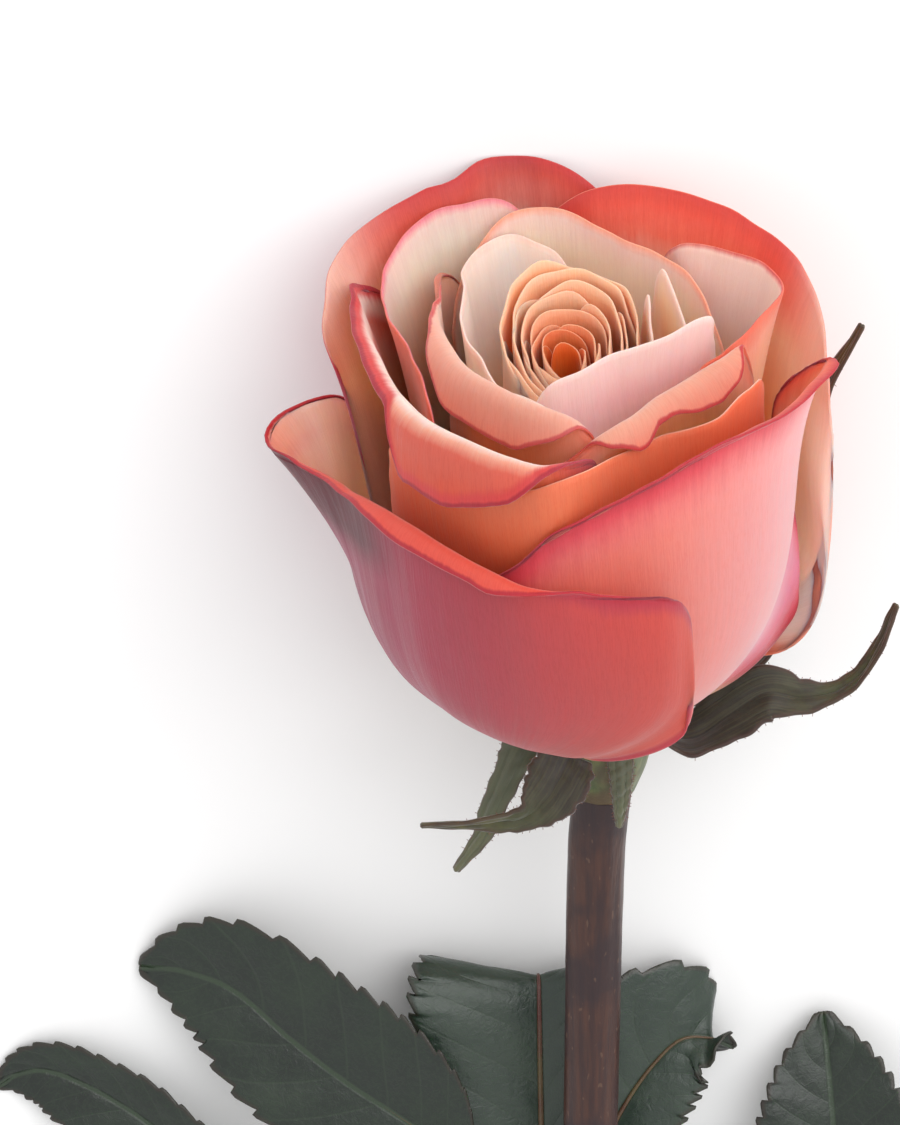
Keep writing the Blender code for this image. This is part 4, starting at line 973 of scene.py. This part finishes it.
def dressed_petal(surface, seed, piece, factor, half_thick, ruffle=RUFFLE, notch=NOTCH, mark=None):
    """One petal with a gently ruffled margin; the extra number is its mark, or the way past its crest."""
    if surface[0, -1, 0] < surface[0, 0, 0]:
        surface = surface[:, ::-1]
    points = refined(bloom_points(surface), factor)
    along = run_along(points, 0)
    crossing = run_along(points, 1)
    to_rim = along[-1] - along
    past_crest = along - along[factor * (PETAL_ROWS - 1)]
    to_side = np.minimum(crossing, crossing[:, -1:] - crossing)
    margin = np.minimum(to_rim, to_side)
    width = crossing.max()
    across = (np.linspace(-0.5, 0.5, points.shape[1]) * width)[None] * np.ones((points.shape[0], 1))
    edge = np.exp(-(margin / RUFFLE_REACH) ** 2)
    normals = grid_normals(points)
    upward = unit(np.gradient(points, axis=0))
    wave = waves(across, RUFFLE_LENGTHS, seed) * ruffle
    points = points + normals * (edge * wave)[..., None]
    notch = np.exp(-(to_rim / NOTCH_REACH) ** 2) * waves(across, NOTCH_LENGTHS, seed + 50) * notch
    points = points + upward * notch[..., None]
    place = np.stack([across, along, margin], -1)
    piece.sheet(points, half_thick, place, past_crest if mark is None else np.full_like(to_rim, mark))
    return width


def make_petals():
    """The heart as one piece, and each big petal as its own."""
    heart, petals = bloom_surfaces()
    piece = Piece()
    for number, surface in enumerate(heart):
        share = number / (HEART_PETALS - 1)
        width = dressed_petal(
            surface, 100 + number, piece, 1, HEART_HALF_THICK, HEART_RUFFLE, HEART_NOTCH, share)
    piece.make("heart_petals", petal_material("heart", 0, width), "heart", bloom_to_stem)
    for number, (name, surface) in enumerate(petals.items()):
        piece = Piece()
        width = dressed_petal(surface, number + 1, piece, FINER, PETAL_HALF_THICK)
        piece.make("soft_" + name, petal_material(name, number + 1, width), name, bloom_to_stem)


def blade_frame(stations, across, shares):
    """Points, widths and directions along a blade: (x, y, z, left half width, right half width, roll)."""
    along = curve_at(stations, shares)
    before, after = (curve_at(stations, np.clip(shares + step, 0, 1)) for step in (-0.01, 0.01))
    tangent = unit((after - before)[:, :3])
    across = np.array(across, float)
    side = unit(across - (tangent @ across)[:, None] * tangent)
    normal = np.cross(side, tangent)
    roll = np.radians(along[:, 5])[:, None]
    turned_side = side * np.cos(roll) + normal * np.sin(roll)
    turned_normal = normal * np.cos(roll) - side * np.sin(roll)
    return along, turned_side, turned_normal, tangent


def add_leaflet(piece, leaflet, seed, under):
    """One serrated leaflet, raised a little between its side veins."""
    path = np.array(leaflet["path"], float)
    facing = np.array(leaflet.get("facing", (0, -1, 0)), float)
    across = np.cross(path[1] - path[0], facing)
    left, right = leaflet["widths"]
    marks = np.linspace(0, 1, len(LEAFLET_OUTLINE))
    stations = [(*point, left * outline, right * outline, leaflet.get("roll", 0))
                for point, outline in zip(curve_at(path, marks), LEAFLET_OUTLINE)]
    rows = LEAFLET_TEETH * TOOTH_ROWS + 1
    shares = np.linspace(0, 1, rows)
    along, side, normal, tangent = blade_frame(stations, across, shares)
    s = np.linspace(-1, 1, LEAFLET_COLUMNS)[None]
    t = shares[:, None]
    width = np.where(s < 0, along[:, 3:4], along[:, 4:5])
    phase = np.mod(t * LEAFLET_TEETH, 1.0)
    tooth = np.where(phase < 0.8, phase / 0.8, (1 - phase) / 0.2)
    taper = np.sin(math.pi * np.clip(t, 0.04, 0.97)) ** 0.4
    reach = TOOTH_DEPTH * max(left, right) * tooth * np.abs(s) ** 7 * taper
    vein = t * LEAF_VEINS - VEIN_SLANT * np.abs(s) ** 1.1 + 0.25 * (s > 0)
    swell = np.minimum(6 * np.abs(s), 1) * (1 - np.abs(s) ** 4)
    quilt = LEAF_QUILT * np.abs(np.sin(math.pi * vein)) ** 0.7 * swell
    sway = LEAF_SWAY * waves(t * 60 + 9 * s, (23.0, 13.0), seed) * np.abs(s) ** 2
    lift = LEAF_FOLD * (np.sqrt(s ** 2 + 0.0025) - 0.05) * width + quilt + sway
    points = (along[:, None, :3] + side[:, None] * (s * width + np.sign(s) * reach)[..., None]
              + tangent[:, None] * (0.7 * reach)[..., None] + normal[:, None] * lift[..., None])
    run = run_along(points, 0)
    edge = np.minimum((1 - np.abs(s)) * width, run[-1:] - run)
    place = np.stack([np.broadcast_to(s * width, vein.shape), vein, edge], -1)
    piece.sheet(points, LEAF_HALF_THICK, place, np.full(vein.shape, 1.0 if under else 0.0))
    rib_along, _, rib_normal, _ = blade_frame(stations, across, np.linspace(0, RIB_END, RIB_RINGS))
    back = LEAF_HALF_THICK if under else -LEAF_HALF_THICK
    rib = rib_along[:, :3] + rib_normal * back
    piece.tube(rib, np.linspace(0.42, 0.12, RIB_RINGS), 8, across=side[0], side=0.5, extra=2.0)


def make_leaf(name, leaf, seed):
    """A compound leaf: leaflets, the common stalk, their own short stalks, and the stipules at its foot."""
    piece = Piece()
    under = name == "leaf_behind"
    for number, leaflet in enumerate(leaf["leaflets"]):
        add_leaflet(piece, leaflet, 10 * seed + number, under)
    shares = np.linspace(0, 1, RACHIS_RINGS)
    path = curve_at(leaf["rachis"], shares)
    radii = RACHIS_RADIUS * np.linspace(1.25, 0.8, RACHIS_RINGS) * (1 + 0.8 * np.exp(-14 * shares))
    piece.tube(path, radii, RACHIS_SIDES, across=(0, 1, 0.1), extra=2.0)
    for leaflet in leaf["leaflets"][1:]:
        base, inside = curve_at(leaflet["path"], np.array((0.0, 0.12)))
        nearest = path[np.argmin(np.linalg.norm(path - base, axis=1))]
        stalk = curve_at([nearest, base, inside], np.linspace(0, 1, STALK_RINGS))
        piece.tube(stalk, np.linspace(0.62, 0.45, STALK_RINGS), STALK_SIDES, across=(0, 1, 0.1), extra=2.0)
    coarse = curve_at(leaf["rachis"], np.linspace(0, 1, 13))
    stations = [(*coarse[i], width, width, 0) for i, width in zip((3, 4, 5, 6), STIPULE_WIDTHS)]
    shares = np.linspace(0, 1, STIPULE_ROWS)
    across = np.cross(coarse[5] - coarse[3], (0, -1, 0))
    along, side, normal, _ = blade_frame(stations, across, shares)
    s = np.linspace(-1, 1, STIPULE_COLUMNS)[None]
    fringe = 0.18 * waves(shares[:, None] * 20 + 3 * s, (1.7, 1.1), seed) * np.abs(s) ** 4
    reach = s * along[:, 3:4] + np.sign(s) * fringe
    points = (along[:, None, :3] + side[:, None] * reach[..., None]
              + normal[:, None] * (0.3 * np.abs(s) * along[:, 3:4])[..., None])
    place = np.stack([reach, np.broadcast_to(shares[:, None] * 4, reach.shape), 1.5 - np.abs(reach)], -1)
    piece.sheet(points, STIPULE_HALF_THICK, place, np.zeros(reach.shape))
    piece.make("green_" + name, leaf_material(name, seed), name)


def leaf_material(name, seed):
    """Dark glossy green with paler veins, a reddish edge, and a dull grey-green underside."""
    paint = Paint(
        name, 0.35, Subsurface_Weight=0.08, Subsurface_Radius=(0.3, 0.8, 0.2), Subsurface_Scale=0.001,
        Specular_IOR_Level=0.5, Coat_Weight=0.15, Coat_Roughness=0.25)
    across, vein, edge = paint.split(paint.mark("place", "Vector"))
    outer = paint.mark("side", "Fac")
    kind = paint.mark("extra", "Fac")
    here = paint.objects()
    cloud = paint.noise(here, 120.0, 4.0, 0.6)
    mesh = paint.noise(here, 900.0, 4.0, 0.65, 0.6)
    green = paint.ramp(cloud, ((0.3, srgb(12, 22, 15)), (0.5, srgb(18, 31, 21)), (0.7, srgb(27, 41, 27))))
    under = paint.ramp(cloud, ((0.3, srgb(36, 50, 42)), (0.7, srgb(52, 65, 54))))
    top = paint.size(paint.math("SUBTRACT", outer, paint.fade(kind, 0.5, 0.9)))
    colour = paint.mix(top, under, green)
    line = paint.fade(paint.size(paint.less_half(paint.math("FRACT", vein))), 0.44, 0.5)
    middle = paint.fade(paint.size(across), 0.55, 0.2)
    line = paint.math("MAXIMUM", paint.times(line, 0.3), paint.times(middle, 0.8))
    net = paint.fade(paint.size(paint.less_half(mesh)), 0.05, 0.0, 0.0, 0.2)
    colour = paint.mix(paint.math("MAXIMUM", line, net), colour, srgb(46, 62, 42))
    colour = paint.mix(paint.fade(edge, 0.5, 0.1, 0.0, 0.4), colour, srgb(56, 36, 30))
    colour = paint.mix(paint.fade(kind, 1.4, 1.8), colour, paint.ramp(
        cloud, ((0.35, srgb(84, 44, 36)), (0.65, srgb(92, 80, 48)))))
    paint.bump(paint.math("SUBTRACT", mesh, paint.times(line, 0.6)), 0.35, 0.0004)
    return paint.finish(colour, paint.fade(cloud, 0.3, 0.7, 0.28, 0.45))


def make_sepal(name, sepal, seed):
    """A keeled sepal with a few gland-tipped hairs along its margins."""
    piece = Piece()
    stations = [(x, y, z, width, width, roll) for x, y, z, width, roll in sepal["path"]]
    shares = np.linspace(0, 1, SEPAL_ROWS)
    along, side, normal, tangent = blade_frame(stations, sepal["across"], shares)
    s = np.linspace(-1, 1, SEPAL_COLUMNS)[None]
    t = shares[:, None]
    width = along[:, 3:4] * (1 + 0.07 * waves(t * 50, (7.0, 4.1), seed))
    keel = SEPAL_KEEL * np.exp(-(s / 0.16) ** 2)
    ribs = 0.05 * np.cos(s * 14) * (1 - s ** 2)
    lift = 0.15 * np.abs(s) * width - keel + ribs + 0.12 * waves(t * 40 + 4 * s, (11.0, 6.0), seed + 3)
    points = along[:, None, :3] + side[:, None] * (s * width)[..., None] + normal[:, None] * lift[..., None]
    edge = (1 - np.abs(s)) * width
    place = np.stack([s * width, np.broadcast_to(t, edge.shape), edge], -1)
    piece.sheet(points, SEPAL_HALF_THICK, place, np.zeros(edge.shape))
    chance = np.random.default_rng(seed)
    for number in range(SEPAL_HAIRS):
        share = 0.06 + 0.88 * number / SEPAL_HAIRS + 0.01 * chance.random()
        row = int(share * (SEPAL_ROWS - 1))
        for column, sign in ((0, -1), (-1, 1)):
            base = points[row, column]
            away = side[row] * sign + tangent[row] * (chance.random() - 0.3)
            away = away + normal[row] * (chance.random() - 0.5)
            length = 0.25 + 0.3 * chance.random()
            hair = base + unit(away) * np.array([[-0.1], [0.5], [0.9], [1.0]]) * length
            piece.tube(hair, [0.05, 0.035, 0.035, 0.05], HAIR_SIDES, across=normal[row], side=0.5, extra=1.0)
    piece.make("green_" + name, sepal_material(name), name)


def sepal_material(name):
    """Olive brown with fine ribs, paler at the tip, and a downy inner face."""
    paint = Paint(
        name, 0.6, Subsurface_Weight=0.1, Subsurface_Scale=0.001, Sheen_Weight=0.3, Sheen_Roughness=0.5)
    across, along, edge = paint.split(paint.mark("place", "Vector"))
    outer = paint.mark("side", "Fac")
    glands = paint.mark("extra", "Fac")
    cloud = paint.noise(paint.objects(), 350.0, 4.0, 0.6)
    ribs = paint.noise(paint.join(across, paint.times(along, 0.6), 0.0), 3.0, 4.0, 0.6)
    colour = paint.ramp(along, ((0.0, srgb(58, 50, 54)), (0.35, srgb(50, 46, 32)), (0.7, srgb(62, 66, 28)),
                                (1.0, srgb(86, 78, 34))))
    colour = paint.mix(paint.fade(cloud, 0.4, 0.62, 0.0, 0.7), colour, srgb(38, 31, 22))
    colour = paint.mix(paint.fade(ribs, 0.45, 0.62, 0.0, 0.4), colour, srgb(80, 77, 50))
    colour = paint.mix(paint.fade(edge, 0.5, 0.0, 0.0, 0.6), colour, srgb(66, 36, 28))
    colour = paint.mix(paint.fade(outer, 0.3, 0.0, 0.0, 0.5), colour, srgb(98, 104, 78))
    colour = paint.mix(glands, colour, srgb(110, 58, 44))
    paint.bump(paint.plus(ribs, cloud), 0.4, 0.0003)
    return paint.finish(colour)


def make_hip():
    """The swollen top of the stem, with shallow ribs."""
    piece = Piece()
    profile = curve_at(HIP_PROFILE, np.linspace(0, 1, HIP_RINGS))
    around = circle(HIP_SIDES)
    radii = profile[:, :1] * (1 + 0.012 * np.cos(5 * around) + 0.006 * np.cos(13 * around + 1))
    path = np.stack([0 * profile[:, 1], 0 * profile[:, 1], profile[:, 1]], 1)
    piece.tube(path, radii, HIP_SIDES)
    skin = stem_material("hip", srgb(70, 84, 44), srgb(104, 108, 60), srgb(88, 58, 44))
    piece.make("green_hip", skin, "hip", bloom_to_stem)


def make_stem():
    """The stem with its swollen nodes, faint ridges, lenticels and down-turned prickles."""
    piece = Piece()
    path = curve_at(STEM_PATH, np.linspace(0, 1, STEM_RINGS))
    radius = path[:, 3].copy()
    for node in STEM_NODES:
        radius += NODE_SWELL * np.exp(-((path[:, 2] - node) / NODE_REACH) ** 2)
    around = circle(STEM_SIDES)
    z = path[:, 2:3]
    relief = (0.07 * np.cos(5 * around + z / 60) + 0.035 * np.cos(11 * around - z / 35)
              + 0.03 * waves(z + 4 * np.cos(around), (9.0, 5.3, 17.0), 5))
    piece.tube(path[:, :3], radius[:, None] + relief, STEM_SIDES)
    shares = np.linspace(0, 1, PRICKLE_RINGS)
    size = curve_at(PRICKLE_SIZES, shares)
    tall, wide = size[:, :1], size[:, 1:]
    angle = circle(PRICKLE_SIDES)
    oval = tall * wide / np.hypot(wide * np.cos(angle), tall * np.sin(angle))
    for height, turn, length in PRICKLES:
        centre = path[np.argmin(np.abs(path[:, 2] - height)), :3]
        out = np.array([math.sin(math.radians(turn)), -math.cos(math.radians(turn)), 0])
        knots = [centre + out * (start + share * length) + (0, 0, -drop)
                 for start, share, drop in PRICKLE_LINE]
        piece.tube(curve_at(knots, shares), oval, PRICKLE_SIDES, across=(0, 0, 1), extra=1.0)
    bark = stem_material("stem", srgb(48, 25, 24), srgb(70, 39, 28), srgb(36, 22, 28))
    piece.make("bark_stem", bark, "stem")


def stem_material(name, dark, light, flecks):
    """Smooth bark with lengthwise streaks and small pale lenticels."""
    paint = Paint(name, 0.42, Subsurface_Weight=0.05, Subsurface_Scale=0.001, Specular_IOR_Level=0.5)
    radius = paint.split(paint.mark("place", "Vector"))[2]
    extra = paint.mark("extra", "Fac")
    here = paint.objects()
    x, y, z = paint.split(here)
    streak = paint.noise(paint.join(x, paint.times(y, 0.06), z), 900.0, 4.0, 0.6)
    cloud = paint.noise(here, 140.0, 3.0, 0.5)
    dots = paint.noise(paint.join(x, paint.times(y, 0.45), z), 1500.0, 1.0, 0.5)
    colour = paint.mix(paint.fade(streak, 0.35, 0.65), dark, light)
    colour = paint.mix(paint.fade(cloud, 0.45, 0.65, 0.0, 0.7), colour, flecks)
    colour = paint.mix(paint.fade(dots, 0.68, 0.74, 0.0, 0.25), colour, srgb(130, 100, 78))
    colour = paint.mix(paint.times(extra, 0.8), colour, srgb(122, 62, 46))
    colour = paint.mix(paint.fade(radius, 0.5, 0.0), colour, srgb(196, 190, 140))
    paint.bump(paint.plus(streak, paint.times(dots, 0.5)), 0.35, 0.0003)
    return paint.finish(colour, paint.fade(cloud, 0.3, 0.7, 0.34, 0.5))


def make_camera():
    """The photograph's camera."""
    forward = np.array([0, math.cos(CAMERA_RISE), -math.sin(CAMERA_RISE)])
    right = np.array([1.0, 0, 0])
    up = np.array([0, math.sin(CAMERA_RISE), math.cos(CAMERA_RISE)])
    target = (PICTURE_SIZE[0] / 2 - BASE_PIXEL[0]) * right + (BASE_PIXEL[1] - PICTURE_SIZE[1] / 2) * up
    place = lay_down(target / PIXELS_PER_MM - CAMERA_DISTANCE * forward)
    data = bpy.data.cameras.new("camera")
    data.sensor_width = SENSOR
    data.lens = SENSOR * PIXELS_PER_MM * CAMERA_DISTANCE / PICTURE_SIZE[1]
    data.clip_start = 0.05
    camera = bpy.data.objects.new("camera", data)
    turn = Matrix([lie_turn(v) for v in (right, up, -forward)]).transposed()
    camera.matrix_world = Matrix.LocRotScale(Vector(place), turn.to_quaternion(), None)
    bpy.context.scene.collection.objects.link(camera)
    bpy.context.scene.camera = camera


def make_floor():
    """A plain pale table top, far larger than the view."""
    paint = Paint("floor", 0.85)
    tone = paint.noise(paint.objects(), 3.0, 2.0)
    paint.finish(paint.ramp(tone, ((0.0, (0.91, 0.91, 0.91, 1)), (1.0, (0.94, 0.94, 0.94, 1)))))
    mesh = bpy.data.meshes.new("floor")
    corners = [(x * FLOOR_REACH, y * FLOOR_REACH, 0) for x, y in ((-1, -1), (1, -1), (1, 1), (-1, 1))]
    mesh.from_pydata(corners, [], [(0, 1, 2, 3)])
    mesh.materials.append(paint.material)
    floor = bpy.data.objects.new("floor", mesh)
    bpy.context.scene.collection.objects.link(floor)


def make_lights():
    """A bright soft room with one large key light."""
    world = bpy.context.scene.world or bpy.data.worlds.new("room")
    bpy.context.scene.world = world
    world.use_nodes = True
    background = world.node_tree.nodes["Background"]
    background.inputs["Color"].default_value = (1, 1, 1, 1)
    background.inputs["Strength"].default_value = ROOM_STRENGTH
    data = bpy.data.lights.new("key", "AREA")
    data.shape = "DISK"
    data.size = KEY_SIZE
    data.energy = KEY_POWER
    light = bpy.data.objects.new("key", data)
    light.location = KEY_PLACE
    light.rotation_mode = "QUATERNION"
    light.rotation_quaternion = (Vector(KEY_TARGET) - Vector(KEY_PLACE)).to_track_quat("-Z", "Y")
    bpy.context.scene.collection.objects.link(light)
    bpy.context.scene.view_settings.view_transform = "Standard"


make_camera()
make_floor()
make_lights()
make_petals()
make_hip()
make_stem()
for seed, (name, sepal) in enumerate(SEPALS.items()):
    make_sepal(name, sepal, seed + 60)
for seed, (name, leaf) in enumerate(LEAVES.items()):
    make_leaf(name, leaf, seed + 80)
